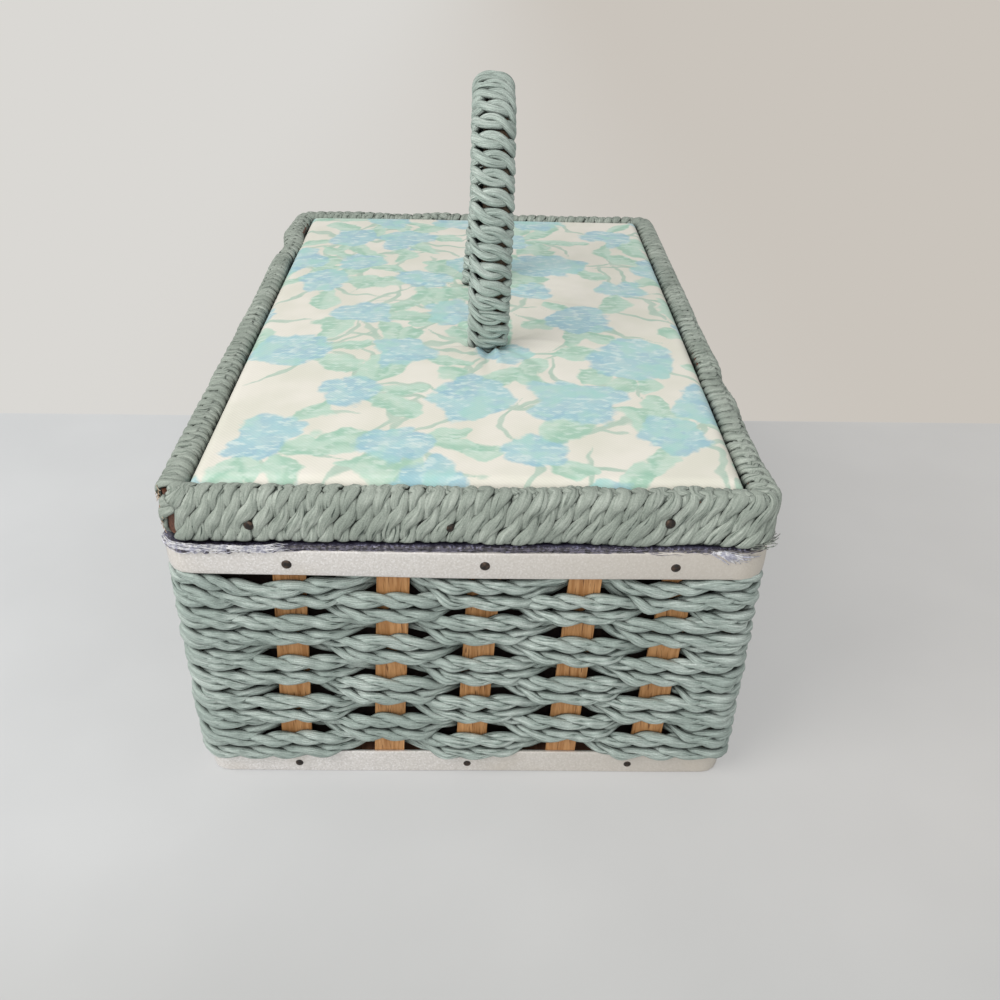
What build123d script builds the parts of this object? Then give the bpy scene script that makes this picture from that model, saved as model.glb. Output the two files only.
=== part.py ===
from build123d import *
from math import cos, degrees, floor, pi, radians, sin, tan
import os

# A woven sewing basket with a padded lid and a bound carrying handle. The long side runs along Y, the lid's
# hinges are on the -X side and its catch on the +X side. The origin is on the table, under the middle.

# Overall sizes, in mm
basket_width = 200.0         # across the top band, along X
basket_length = 300.0        # across the top band, along Y
seam_height = 105.5          # top edge of the top band
corner_radius = 10.0         # of the top band and of the lid

# Bands, stakes and the boards behind them
top_band_height = 11.2
top_band_thickness = 4.0
bottom_band_height = 10.5
bottom_band_thickness = 1.2
stake_width = 11.0
stake_thickness = 1.6
end_stake_shares = (-0.615, -0.27, 0.035, 0.375, 0.69)   # middles along each end, hand set, in half widths
end_stake_lean = 3.0         # degrees, towards +X at the top
side_stake_count = 8
side_stake_pitch = 33.0
corner_post_radius = 2.4
corner_post_sides = 8
corner_post_clearance = 0.2  # between a post and the cords that go round it
bottom_board_thickness = 8.0
card_thickness = 2.0
lining_thickness = 0.8

# The weave: rows of two paper cords, over and under the stakes in turn
row_count = 9
cord_thickness = 4.5
cord_pass = 6.5              # half the straight run that a cord makes over the outside of a stake
cord_dip = 5.6               # how far behind the stakes' middle a cord bends on the inside

# Lid
seam_gap = 1.5               # between the top band and the lid's rim
lid_height = 19.0
lid_frame_thickness = 6.6
lid_wrap_thickness = 2.0
wrap_rib_pitch = 8.8         # along the rim: a rib stands for nearly two turns of the winding
wrap_rib_depth = 0.7
lid_panel_thickness = 3.0
lid_panel_drop = 6.5         # from the rim's top edge down to the panel
lid_pad_edge = 5.0           # height of the padded top's edge over the panel
lid_pad_crown = 3.2          # how much higher its middle is
lid_lining_thickness = 2.5
lid_lining_height = 3.0      # of the lining's face over the rim's lower edge

# Handle: an arch bound with a double strand
handle_top_radius = 39.0
handle_top_angle = 60.0      # from the top of the arch to where its sides begin
handle_side_radius = 71.5
handle_side_angle = 62.0
handle_core_width = 11.0     # across the arch
handle_core_depth = 6.4      # in the arch's plane
handle_core_sides = 12
handle_core_steps = 28       # straight lengths in the arch
handle_wrap_thickness = 2.7
handle_wrap_clearance = 0.3
handle_wrap_loops = 24
handle_wrap_sides = 10       # flats that each loop takes round the core
handle_wrap_gap = 1.1        # between one loop and the next
handle_wrap_foot = 5.4       # of bare arch at each foot
handle_place = 6.0           # of the arch's middle from the lid's middle, along X
handle_turn = 2.4            # degrees that the arch stands askew
handle_lean = 1.4            # degrees that it leans over, towards +X
handle_screw_radius = 1.2
handle_screw_length = 9.5
handle_screw_offset = 1.6    # outwards from the middle of the foot
handle_screw_head_radius = 3.0
handle_screw_head_height = 1.8
screw_sides = 12

# Lining pad, tray and its ledges
floor_pad_thickness = 5.0
floor_pad_crown = 1.5
seam_edge_thickness = 1.2
soft_clearance = 0.3
tray_height = 22.0
tray_wall = 1.6
tray_drop = 7.5              # from the top band's edge down to the tray's rim
tray_clearance = 0.8
tray_corner_radius = 6.0
tray_cross_dividers = 2
tray_lip = 1.4
tray_divider_drop = 2.8      # of the dividers below the tray's rim
ledge_depth = 8.0
ledge_height = 6.0

# Lid hinges
hinge_length = 26.0
hinge_places = (-88.0, 88.0)
hinge_leaf_thickness = 1.0
hinge_leaf_reach = 11.0
hinge_knuckle_radius = 1.6
hinge_pin_radius = 0.8
hinge_running_gap = 0.05
hinge_knuckle_gap = 0.25

# Catch: a wire loop on the lid that drops over a knob on the band
catch_plate_width = 20.0
catch_plate_height = 12.0
catch_plate_thickness = 1.0
catch_plate_lift = 1.5       # over the rim's lower edge
catch_tube_radius = 1.9
catch_tube_length = 8.0
catch_tube_gap = 0.12
catch_web_thickness = 1.0
catch_tube_lift = 1.0        # of the tube over the plate's lower edge
catch_wire_radius = 0.9
catch_wire_sides = 8
catch_loop_width = 13.0
catch_loop_length = 17.6
catch_loop_corner = 2.2
catch_rest_angle = 21.5      # the loop leans on the knob's face, unhooked
knob_sides = 16
knob_shank_radius = 1.5
knob_shank_length = 4.5
knob_head_radius = 4.2
knob_head_thickness = 3.0
knob_chamfer = 1.0

# Sizes that follow from the ones above
half_width = basket_width / 2
half_length = basket_length / 2
stake_outer_inset = top_band_thickness
stake_inner_inset = stake_outer_inset + stake_thickness
stake_middle_inset = stake_outer_inset + stake_thickness / 2
card_outer_inset = stake_middle_inset + cord_dip + cord_thickness / 2 + soft_clearance
card_inner_inset = card_outer_inset + card_thickness
lining_inner_inset = card_inner_inset + lining_thickness
band_foot = seam_height - top_band_height
floor_top = bottom_board_thickness
pad_inset = lining_inner_inset + soft_clearance
row_pitch = (band_foot - bottom_band_height) / row_count
lid_foot = seam_height + seam_gap
lid_top = lid_foot + lid_height
lid_inner_inset = lid_wrap_thickness + lid_frame_thickness
panel_top = lid_top - lid_panel_drop
panel_foot = panel_top - lid_panel_thickness
lid_lining_foot = lid_foot + lid_lining_height
tray_foot = seam_height - tray_drop - tray_height
tray_inset = lining_inner_inset + tray_clearance


def outline(inset):
    """The basket's plan with its rounded corners, drawn in by an inset from the top band's outer face."""
    return RectangleRounded(basket_width - 2 * inset, basket_length - 2 * inset, corner_radius - inset)


def box_outline(inset):
    """The same plan with square corners, for the box of card and what is inside it."""
    return Rectangle(basket_width - 2 * inset, basket_length - 2 * inset)


def prism(plan, foot, top):
    return Pos(0, 0, foot) * extrude(plan, top - foot)


def crowned_pad(plan, foot, edge_height, crown):
    """A cushion of a given plan, with upright edges, whose top swells to its middle both ways."""
    size = plan.bounding_box().size
    half_across, half_along = size.X / 2 + crown, size.Y / 2 + crown
    rim = foot + edge_height
    sections = []
    for share in (-1.0, -0.5, 0.0, 0.5, 1.0):
        swell = crown * (1 - share * share) + crown / 20
        left, right = (-half_across, rim), (half_across, rim)
        sides = Polyline(left, (-half_across, foot), (half_across, foot), right)
        top = ThreePointArc(left, (0, rim + swell), right)
        sections.append(Plane.XZ.offset(-share * half_along) * make_face(sides + top))
    return loft(sections) & prism(plan, foot, rim + 2 * crown)


# Body: board, boards of card, hoop, bands and stakes

def bottom_board():
    return prism(outline(stake_inner_inset), 0, floor_top)


def bottom_band():
    outer = outline(stake_outer_inset - bottom_band_thickness)
    return prism(outer - outline(stake_outer_inset), 0, bottom_band_height)


def top_band():
    return prism(outline(0) - outline(stake_outer_inset), band_foot, seam_height)


def top_hoop():
    """The wooden hoop inside the stakes, which the band is nailed to."""
    return prism(outline(stake_inner_inset) - box_outline(card_outer_inset), band_foot, seam_height)


def side_cards():
    height = seam_height - floor_top
    length = basket_length - 2 * card_outer_inset
    place = half_width - card_outer_inset - card_thickness / 2
    board = Pos(0, 0, floor_top + height / 2) * Box(card_thickness, length, height)
    return [Pos(side * place, 0, 0) * board for side in (-1, 1)]


def end_cards():
    height = seam_height - floor_top
    width = basket_width - 2 * card_inner_inset
    place = half_length - card_outer_inset - card_thickness / 2
    board = Pos(0, 0, floor_top + height / 2) * Box(width, card_thickness, height)
    return [Pos(0, side * place, 0) * board for side in (-1, 1)]


def end_stake_places(height):
    """Where the stakes of an end stand at a given height, because they lean."""
    slip = (height - seam_height / 2) * tan(radians(end_stake_lean))
    return [share * half_width + slip for share in end_stake_shares]


def side_stake_places():
    return [(i - (side_stake_count - 1) / 2) * side_stake_pitch for i in range(side_stake_count)]


def stake(lean=0):
    """A flat splint on its end over the origin, leaning about its middle, with its ends cut level."""
    blank = Rot(0, lean, 0) * Box(stake_width, stake_thickness, seam_height + stake_width)
    return Pos(0, 0, seam_height / 2) * (blank & Box(seam_height, stake_thickness, seam_height))


def end_stakes():
    place = half_length - stake_middle_inset
    leaning = stake(end_stake_lean)
    return [Pos(x, side * place, 0) * leaning for side in (-1, 1) for x in end_stake_places(seam_height / 2)]


def side_stakes():
    place = half_width - stake_middle_inset
    upright = Rot(0, 0, 90) * stake()
    return [Pos(side * place, y, 0) * upright for side in (-1, 1) for y in side_stake_places()]


def corner_posts():
    """Dowels between the board and the hoop, which hold the cords out round the corners."""
    bend = corner_radius - stake_outer_inset
    inset = corner_radius - (bend - corner_post_radius - corner_post_clearance) * sin(radians(45))
    plan = RegularPolygon(corner_post_radius, corner_post_sides, False, rotation=180 / corner_post_sides)
    post = prism(plan, floor_top, band_foot)
    across, along = half_width - inset, half_length - inset
    return [Pos(side * across, end * along, 0) * post for side in (-1, 1) for end in (-1, 1)]


# The weave

def row_height(row):
    return band_foot - (row - 0.5) * row_pitch


def wall_stakes(wall, height):
    """Stake places along one wall, in the direction that a row travels: near, right, far, left."""
    if wall % 2:
        return side_stake_places()
    return sorted(x if wall == 0 else -x for x in end_stake_places(height))


def row_route(row):
    """Corners of one cord's middle line round the basket, over and under the stakes in turn."""
    outward = stake_thickness / 2 + cord_thickness / 2
    bend_radius = corner_radius - stake_outer_inset + cord_thickness / 2
    bend_reach = bend_radius * tan(radians(22.5))
    route = []
    count = row
    for wall in range(4):
        to_wall, to_corner = (half_width, half_length) if wall % 2 else (half_length, half_width)
        corner = to_corner - corner_radius + bend_reach
        along = [(-corner, outward)]
        for place in wall_stakes(wall, row_height(row)):
            if count % 2:
                along += [(place - cord_pass, outward), (place + cord_pass, outward)]
            else:
                along.append((place, -cord_dip))
            count += 1
        along.append((corner, outward))
        for place, out in along:
            point = Vector(place, -(to_wall - stake_middle_inset + out))
            route.append(point.rotate(Axis.Z, 90 * wall))
    return route


def cord(route, height):
    """One cord of a row, closed on itself: flat at the back, towards the card, and bevelled in front."""
    line = make_face(Polyline(*route, close=True))
    inner = offset(line, -cord_thickness / 2, kind=Kind.INTERSECTION)
    layers = []
    for rise, share in ((-1, 0.25), (0, 0.5), (1, 0.25)):
        outer = offset(line, share * cord_thickness, kind=Kind.INTERSECTION)
        layers.append((Pos(0, 0, height + rise * cord_thickness / 2) * (outer - inner)).face())
    return loft(layers, ruled=True)


def weaver_row(row):
    """A pair of cords, one on the other. Row 1 is the highest."""
    route = row_route(row)
    return [cord(route, row_height(row) + side * row_pitch / 4) for side in (-1, 1)]


# Lining, tray and ledges

def lining_walls():
    return prism(box_outline(card_inner_inset) - box_outline(lining_inner_inset), floor_top, seam_height)


def lining_floor():
    return crowned_pad(box_outline(pad_inset), floor_top, floor_pad_thickness, floor_pad_crown)


def lining_edge():
    """The satin turned over the top of the card and the hoop."""
    plan = outline(stake_outer_inset) - box_outline(lining_inner_inset)
    return prism(plan, seam_height, seam_height + seam_edge_thickness)


def tray_ledges():
    width = basket_width - 2 * lining_inner_inset
    place = half_length - lining_inner_inset - ledge_depth / 2
    batten = Pos(0, 0, tray_foot - ledge_height / 2) * Box(width, ledge_depth, ledge_height)
    return [Pos(0, side * place, 0) * batten for side in (-1, 1)]


def tray():
    width, length = basket_width - 2 * tray_inset, basket_length - 2 * tray_inset
    inner_width, inner_length = width - 2 * tray_lip - 2 * tray_wall, length - 2 * tray_lip - 2 * tray_wall
    outer = RectangleRounded(width - 2 * tray_lip, length - 2 * tray_lip, tray_corner_radius)
    inner = RectangleRounded(inner_width, inner_length, tray_corner_radius - tray_wall)
    lip = RectangleRounded(width, length, tray_corner_radius + tray_lip)
    body = extrude(outer, tray_height) + Pos(0, 0, tray_height - tray_wall) * extrude(lip, tray_wall)
    body -= Pos(0, 0, tray_wall) * extrude(inner, tray_height)
    divider_height = tray_height - tray_wall - tray_divider_drop
    lift = tray_wall + divider_height / 2
    for i in range(tray_cross_dividers):
        place = inner_length * ((i + 1) / (tray_cross_dividers + 1) - 0.5)
        body += Pos(0, place, lift) * Box(inner_width, tray_wall, divider_height)
    long_run = inner_length / (tray_cross_dividers + 1)
    body += Pos(0, -inner_length / 2 + long_run / 2, lift) * Box(tray_wall, long_run, divider_height)
    return Pos(0, 0, tray_foot) * body


# Lid

def lid_frame():
    lower, upper = lid_foot + lid_wrap_thickness, lid_top - lid_wrap_thickness
    return prism(outline(lid_wrap_thickness) - outline(lid_inner_inset), lower, upper)


def ribbed_outline():
    """The rim's plan with a crest for each turn of the winding."""
    edge = outline(0).wire()
    ribs = floor(edge.length / wrap_rib_pitch)
    points = []
    for i in range(2 * ribs):
        share = (i + 0.5) / (2 * ribs)
        depth = wrap_rib_depth if i % 2 else 0
        place, along = edge.position_at(share), edge.tangent_at(share)
        inward = Vector(-along.Y, along.X) if along.cross(place).Z < 0 else Vector(along.Y, -along.X)
        if inward.dot(place) > 0:
            inward = -inward
        points.append(place + inward * depth)
    return make_face(Polyline(*points, close=True))


def lid_wrap():
    """The winding round the lid's frame, open at the inside where the panel meets the frame."""
    return prism(ribbed_outline() - outline(lid_inner_inset), lid_foot, lid_top) - lid_frame()


def lid_panel():
    return prism(outline(lid_inner_inset), panel_foot, panel_top) - handle_screws()


def lid_pad():
    """The padded top, with a hollow where each foot of the handle presses it down."""
    pad = crowned_pad(outline(lid_inner_inset + soft_clearance), panel_top, lid_pad_edge, lid_pad_crown)
    reach = lid_panel_drop + handle_core_width
    hollow = extrude(Polygon(*core_corners(2 * soft_clearance), align=None), 2 * reach)
    for foot in handle_feet():
        pad -= foot * Pos(0, 0, -reach) * hollow
    return pad


def lid_lining():
    plan = outline(lid_inner_inset + soft_clearance)
    return prism(plan, lid_lining_foot, lid_lining_foot + lid_lining_thickness)


# Handle

def handle_frame():
    """Takes the arch from its own plane, X = 0, to its place on the lid, a little turned and leaning."""
    askew = Rot(0, 0, handle_turn) * Rot(0, handle_lean, 0)
    return Pos(handle_place, 0, lid_top) * askew * Pos(0, 0, -lid_top)


def arch_height():
    """Height of the arch's middle line over the surface of the lid where its arcs end."""
    top, end = radians(handle_top_angle), radians(handle_top_angle + handle_side_angle)
    return handle_top_radius * (1 - cos(top)) + handle_side_radius * (cos(top) - cos(end))


def arch_circle(angle):
    """Middle, in Y and Z, and radius of the arc that the arch follows after a turn from its top."""
    top = radians(handle_top_angle)
    middle_z = lid_top + arch_height() - handle_top_radius
    if angle <= handle_top_angle:
        return 0, middle_z, handle_top_radius
    shift = handle_top_radius - handle_side_radius
    return shift * sin(top), middle_z + shift * cos(top), handle_side_radius


def arch_point(angle, outward=0):
    """Point on the arch, from the turn made since its top: towards +Y for a plus, -Y for a minus."""
    middle_y, middle_z, radius = arch_circle(abs(angle))
    turn, side = radians(abs(angle)), 1 if angle >= 0 else -1
    reach = radius + outward
    return Vector(0, side * (middle_y + reach * sin(turn)), middle_z + reach * cos(turn))


def core_corners(margin=0):
    """Corners of the core's many-sided oval section, as reaches across the arch and out from it."""
    across, outward = handle_core_width / 2 + margin, handle_core_depth / 2 + margin
    turns = [2 * pi * (i + 0.5) / handle_core_sides for i in range(handle_core_sides)]
    return [(across * cos(turn), outward * sin(turn)) for turn in turns]


def handle_feet():
    """A place at the end of each foot's arc, with Z along the foot away from the lid."""
    end = handle_top_angle + handle_side_angle
    feet = []
    for side in (-1, 1):
        foot = arch_point(side * end)
        lean = Vector(0, side * -cos(radians(end)), sin(radians(end)))
        feet.append(handle_frame() * Location(Plane(origin=foot, x_dir=(1, 0, 0), z_dir=lean)))
    return feet


def handle_core():
    """The arch, in short straight lengths, with each foot carried on straight and cut off on the panel."""
    end = handle_top_angle + handle_side_angle
    arch = []
    for i in range(handle_core_steps + 1):
        turn = end * (2 * i / handle_core_steps - 1)
        corners = [arch_point(turn, outward) + Vector(across, 0, 0) for across, outward in core_corners()]
        arch.append(make_face(Polyline(*corners, close=True)).face())
    core = handle_frame() * loft(arch, ruled=True)
    reach = lid_panel_drop + handle_core_depth
    for foot in handle_feet():
        core += foot * Pos(0, 0, -reach) * extrude(Polygon(*core_corners(), align=None), reach)
    return core - prism(outline(0), panel_foot - lid_height, panel_top) - handle_screws()


def wrap_sections():
    """The binding's cross-sections in order along it, each as four corner points. A loop lies square to the
    arch, and steps on to the next one across the arch's inner side."""
    top, side = radians(handle_top_angle), radians(handle_side_angle)
    run_top = handle_top_radius * top
    half_run = run_top + handle_side_radius * side - handle_wrap_foot
    pitch = 2 * half_run / handle_wrap_loops
    half_strand = (pitch - handle_wrap_gap) / 2
    flat = cos(pi / handle_wrap_sides)
    inner_x = (handle_core_width / 2 + handle_wrap_clearance) / flat
    inner_z = (handle_core_depth / 2 + handle_wrap_clearance) / flat
    sections = []
    for loop in range(handle_wrap_loops):
        for i in range(1, handle_wrap_sides + 1):
            step = 0.5 if i == handle_wrap_sides else 0
            if step and loop == handle_wrap_loops - 1:
                break
            place = (loop + 0.5 + step) * pitch - half_run
            past = abs(place) - run_top
            turn = degrees(abs(place) / handle_top_radius if past < 0 else top + past / handle_side_radius)
            turn = turn if place >= 0 else -turn
            radius = arch_circle(abs(turn))[2]
            along = Vector(0, cos(radians(turn)), -sin(radians(turn)))
            around = 2 * pi * i / handle_wrap_sides - pi / 2
            corners = []
            for shift, reach in ((-1, 0), (1, 0), (1, handle_wrap_thickness), (-1, handle_wrap_thickness)):
                outward = sin(around) * (inner_z + reach)
                across = Vector(cos(around) * (inner_x + reach), 0, 0)
                half = shift * half_strand * (1 + outward / radius)
                corners.append(arch_point(turn, outward) + across + along * half)
            sections.append(corners)
    return sections


def facet(*corners):
    return make_face(Polyline(*corners, close=True)).face()


def handle_wrap():
    """The binding, as one solid of flat facets between its sections."""
    sections = wrap_sections()
    faces = [facet(*sections[0]), facet(*sections[-1])]
    for near, far in zip(sections, sections[1:]):
        for i in range(4):
            j = (i + 1) % 4
            faces += [facet(near[i], near[j], far[j]), facet(near[i], far[j], far[i])]
    return handle_frame() * Solid(Shell(faces))


def wrap_gap():
    """The least gap between one loop of the binding and the next, measured on points of their edges."""
    sections = wrap_sections()
    samples = 8
    gaps = []
    for inner, facing in ((1, 0), (2, 3)):
        edges = [[corners[side] for corners in sections] for side in (inner, facing)]
        rows = [[edge[i] + (edge[i + 1] - edge[i]) * (j / samples) for i in range(len(edge) - 1)
                 for j in range(samples)] for edge in edges]
        loop = handle_wrap_sides * samples
        for i in range(0, len(rows[0]) - loop, 2):
            ahead = rows[1][i + loop // 2:i + 3 * loop // 2]
            gaps.append(min((point - rows[0][i]).length for point in ahead))
    return min(gaps)


def handle_screws():
    """A screw up into each foot from under the panel, set outwards because the foot leans that way."""
    shaft = extrude(RegularPolygon(handle_screw_radius, screw_sides), handle_screw_length)
    head = extrude(RegularPolygon(handle_screw_head_radius, screw_sides), -handle_screw_head_height)
    screws = []
    for side, foot in zip((-1, 1), handle_feet()):
        lean = foot.z_axis.direction
        seat = foot.position - lean * ((foot.position.Z - panel_top) / lean.Z)
        screws.append(Pos(seat.X, seat.Y + side * handle_screw_offset, panel_foot) * (shaft + head))
    return screws


# Hinges

def hinge_axis():
    return Vector(-half_width - hinge_knuckle_radius, 0, (seam_height + lid_foot) / 2)


def hinge_leaf(side, knuckles):
    """One leaf, above or below the pin, with the knuckles that it owns."""
    axis = hinge_axis()
    third = hinge_length / 3
    clear = hinge_knuckle_radius + hinge_knuckle_gap
    reach = hinge_leaf_reach - clear
    face_x = -half_width - hinge_leaf_thickness / 2
    plate = Box(hinge_leaf_thickness, hinge_length, reach)
    leaf = Pos(face_x, 0, axis.Z + side * (clear + reach / 2)) * plate
    for slot in knuckles:
        length = third - hinge_knuckle_gap
        web = Pos(face_x, slot * third, axis.Z + side * clear / 2) * Box(hinge_leaf_thickness, length, clear)
        barrel = Pos(axis.X, slot * third, axis.Z) * Rot(90, 0, 0) * Cylinder(hinge_knuckle_radius, length)
        leaf += web + barrel
    bore = Cylinder(hinge_pin_radius + hinge_running_gap, hinge_length)
    return leaf - Pos(axis.X, 0, axis.Z) * Rot(90, 0, 0) * bore


def hinge_body_leaves():
    return [Pos(0, place, 0) * hinge_leaf(-1, (-1, 1)) for place in hinge_places]


def hinge_lid_leaves():
    return [Pos(0, place, 0) * hinge_leaf(1, (0,)) for place in hinge_places]


def hinge_pins():
    axis = hinge_axis()
    pin = Rot(90, 0, 0) * Cylinder(hinge_pin_radius, hinge_length)
    return [Pos(axis.X, place, axis.Z) * pin for place in hinge_places]


# Catch

def catch_axis():
    foot = lid_foot + catch_plate_lift + catch_tube_lift
    return Vector(half_width + catch_plate_thickness + catch_tube_radius, 0, foot + catch_tube_radius)


def catch_plate():
    """A plate on the rim with a rolled tube for the loop's upper bar."""
    axis = catch_axis()
    middle = lid_foot + catch_plate_lift + catch_plate_height / 2
    plate = Pos(half_width + catch_plate_thickness / 2, 0, middle) * Box(
        catch_plate_thickness, catch_plate_width, catch_plate_height)
    tube = Rot(90, 0, 0) * Cylinder(catch_tube_radius, catch_tube_length)
    web_depth = catch_tube_radius
    web = Pos(half_width + web_depth / 2 + catch_plate_thickness / 2, 0, axis.Z) * Box(
        web_depth, catch_tube_length, catch_web_thickness)
    bore = Rot(90, 0, 0) * Cylinder(catch_wire_radius + catch_tube_gap, catch_tube_length)
    place = Pos(axis.X, 0, axis.Z)
    return plate + web + place * tube - place * bore


def catch_loop():
    """A closed loop of wire, hung in the tube and leaning out over the knob's face."""
    axis = catch_axis()
    plan = chamfer(Rectangle(catch_loop_width, catch_loop_length).vertices(), catch_loop_corner)
    path = (Plane.YZ * Pos(0, -catch_loop_length / 2) * plan).wire()
    section = Plane(origin=path @ 0, z_dir=path % 0.001) * RegularPolygon(catch_wire_radius, catch_wire_sides)
    wire = sweep(section, path=path, transition=Transition.RIGHT)
    return Pos(axis.X, 0, axis.Z) * Rot(0, -catch_rest_angle, 0) * wire


def closure_knob():
    middle = seam_height - top_band_height / 2
    shank = extrude(RegularPolygon(knob_shank_radius, knob_sides), knob_shank_length)
    head = extrude(RegularPolygon(knob_head_radius, knob_sides), knob_head_thickness)
    head = chamfer(head.edges().group_by(Axis.Z)[-1], knob_chamfer)
    return Pos(half_width, 0, middle) * Rot(0, 90, 0) * (shank + Pos(0, 0, knob_shank_length) * head)


pieces = {
    "bottom_board": bottom_board,
    "bottom_band": bottom_band,
    "top_band": top_band,
    "top_hoop": top_hoop,
    "side_cards": side_cards,
    "end_cards": end_cards,
    "end_stakes": end_stakes,
    "side_stakes": side_stakes,
    "corner_posts": corner_posts,
    "lining_walls": lining_walls,
    "lining_floor": lining_floor,
    "lining_edge": lining_edge,
    "tray_ledges": tray_ledges,
    "tray": tray,
    "lid_frame": lid_frame,
    "lid_wrap": lid_wrap,
    "lid_panel": lid_panel,
    "lid_pad": lid_pad,
    "lid_lining": lid_lining,
    "handle_core": handle_core,
    "handle_wrap": handle_wrap,
    "handle_screws": handle_screws,
    "hinge_body_leaves": hinge_body_leaves,
    "hinge_lid_leaves": hinge_lid_leaves,
    "hinge_pins": hinge_pins,
    "catch_plate": catch_plate,
    "catch_loop": catch_loop,
    "closure_knob": closure_knob,
}


def write(name, shapes):
    solids = [solid for shape in shapes for solid in shape.solids()]
    export_step(Compound(solids), f"parts/{name}.step")


os.makedirs("parts", exist_ok=True)
for name, make in pieces.items():
    made = make()
    write(name, made if isinstance(made, list) else [made])
for row in range(1, row_count + 1):
    write(f"weaver_row_{row}", weaver_row(row))
print("least gap between the handle's loops:", round(wrap_gap(), 2), "mm")
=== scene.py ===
from math import cos, pi, radians, sin, tan

import bmesh
import bpy
import numpy as np
from mathutils import Matrix, Vector
from mathutils.kdtree import KDTree


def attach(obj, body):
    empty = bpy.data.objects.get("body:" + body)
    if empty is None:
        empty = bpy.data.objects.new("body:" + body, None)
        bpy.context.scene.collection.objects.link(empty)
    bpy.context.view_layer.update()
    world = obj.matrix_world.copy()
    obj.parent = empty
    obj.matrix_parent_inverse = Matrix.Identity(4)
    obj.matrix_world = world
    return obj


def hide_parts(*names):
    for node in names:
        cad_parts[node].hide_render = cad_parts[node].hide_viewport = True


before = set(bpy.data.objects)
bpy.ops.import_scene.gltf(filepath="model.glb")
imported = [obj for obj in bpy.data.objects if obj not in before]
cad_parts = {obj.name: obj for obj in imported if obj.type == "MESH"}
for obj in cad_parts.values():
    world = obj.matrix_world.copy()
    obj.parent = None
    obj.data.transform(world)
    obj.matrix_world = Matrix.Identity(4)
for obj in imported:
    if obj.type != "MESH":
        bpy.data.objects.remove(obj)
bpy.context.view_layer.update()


# Bottom board and the box of card that stands on it. The board is thin plywood, sawn to the basket's plan, and the
# card is dark greyboard, cut and glued. The weave hides both, apart from the dark gaps that show between its cords.

def linear(hex_colour):
    """An sRGB hex colour as the linear colour that a socket takes."""
    parts = [int(hex_colour[i:i + 2], 16) / 255 for i in (0, 2, 4)]
    return [c / 12.92 if c <= 0.04045 else ((c + 0.055) / 1.055) ** 2.4 for c in parts] + [1.0]


def add(tree, kind, sockets=None, output=None, **settings):
    """Adds a node to a material, with its settings, its values and its links from other nodes' outputs. Returns the
    node, or the output that is asked for."""
    made = tree.nodes.new("ShaderNode" + kind)
    for key, value in settings.items():
        setattr(made, key, value)
    for key, value in (sockets or {}).items():
        if isinstance(value, bpy.types.NodeSocket):
            tree.links.new(value, made.inputs[key])
        else:
            made.inputs[key].default_value = linear(value) if isinstance(value, str) else value
    return made if output is None else made.outputs[output]


def finish_named(name, roughness, **sockets):
    """A new material with a plain shader, ready for its nodes."""
    made = bpy.data.materials.new(name)
    made.use_nodes = True
    tree = made.node_tree
    shader = tree.nodes["Principled BSDF"]
    shader.inputs["Roughness"].default_value = roughness
    for key, value in sockets.items():
        shader.inputs[key.replace("_", " ")].default_value = value
    return made, tree, shader


mixed = {"data_type": "RGBA"}                      # a Mix node's settings for colours, which are its sockets 6 and 7
eased = {"interpolation_type": "SMOOTHSTEP"}       # a Map Range node's settings for soft ends


def dress(node, material):
    """Gives a CAD node its finish."""
    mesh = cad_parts[node].data
    mesh.materials.clear()
    mesh.materials.append(material)


def flat_stock(name, dark, light, fibre, roughness, relief):
    """Board or card: short pressed fibres, matt, with a slightly uneven colour."""
    made, tree, shader = finish_named(name, roughness)
    place = add(tree, "TexCoord", output="Object")
    fibres = add(tree, "TexNoise", {"Vector": place, "Scale": 1 / fibre, "Detail": 3.0}, "Fac")
    patches = add(tree, "TexNoise", {"Vector": place, "Scale": 60.0}, "Fac")
    both = add(tree, "Math", {0: fibres, 1: patches}, 0, operation="MULTIPLY")
    amount = add(tree, "MapRange", {"Value": both, "From Min": 0.1, "From Max": 0.45}, "Result", **eased)
    colour = add(tree, "Mix", {0: amount, 6: dark, 7: light}, 2, **mixed)
    bump = add(tree, "Bump", {"Height": fibres, "Distance": relief, "Strength": 0.6}, "Normal")
    tree.links.new(colour, shader.inputs["Base Color"])
    tree.links.new(bump, shader.inputs["Normal"])
    return made


greyboard = flat_stock("greyboard_dark", "1E1512", "3A2A24", fibre=0.0012, roughness=0.85, relief=0.0002)
for card in ("side_cards", "end_cards"):
    dress(card, greyboard)


# Stakes: flat splints of ash, split and planed, that stand nailed between the board and the hoop. The wood is tan,
# with fine straight grain up the splint and a few darker pores, and it has a dull, dry face.

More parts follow.
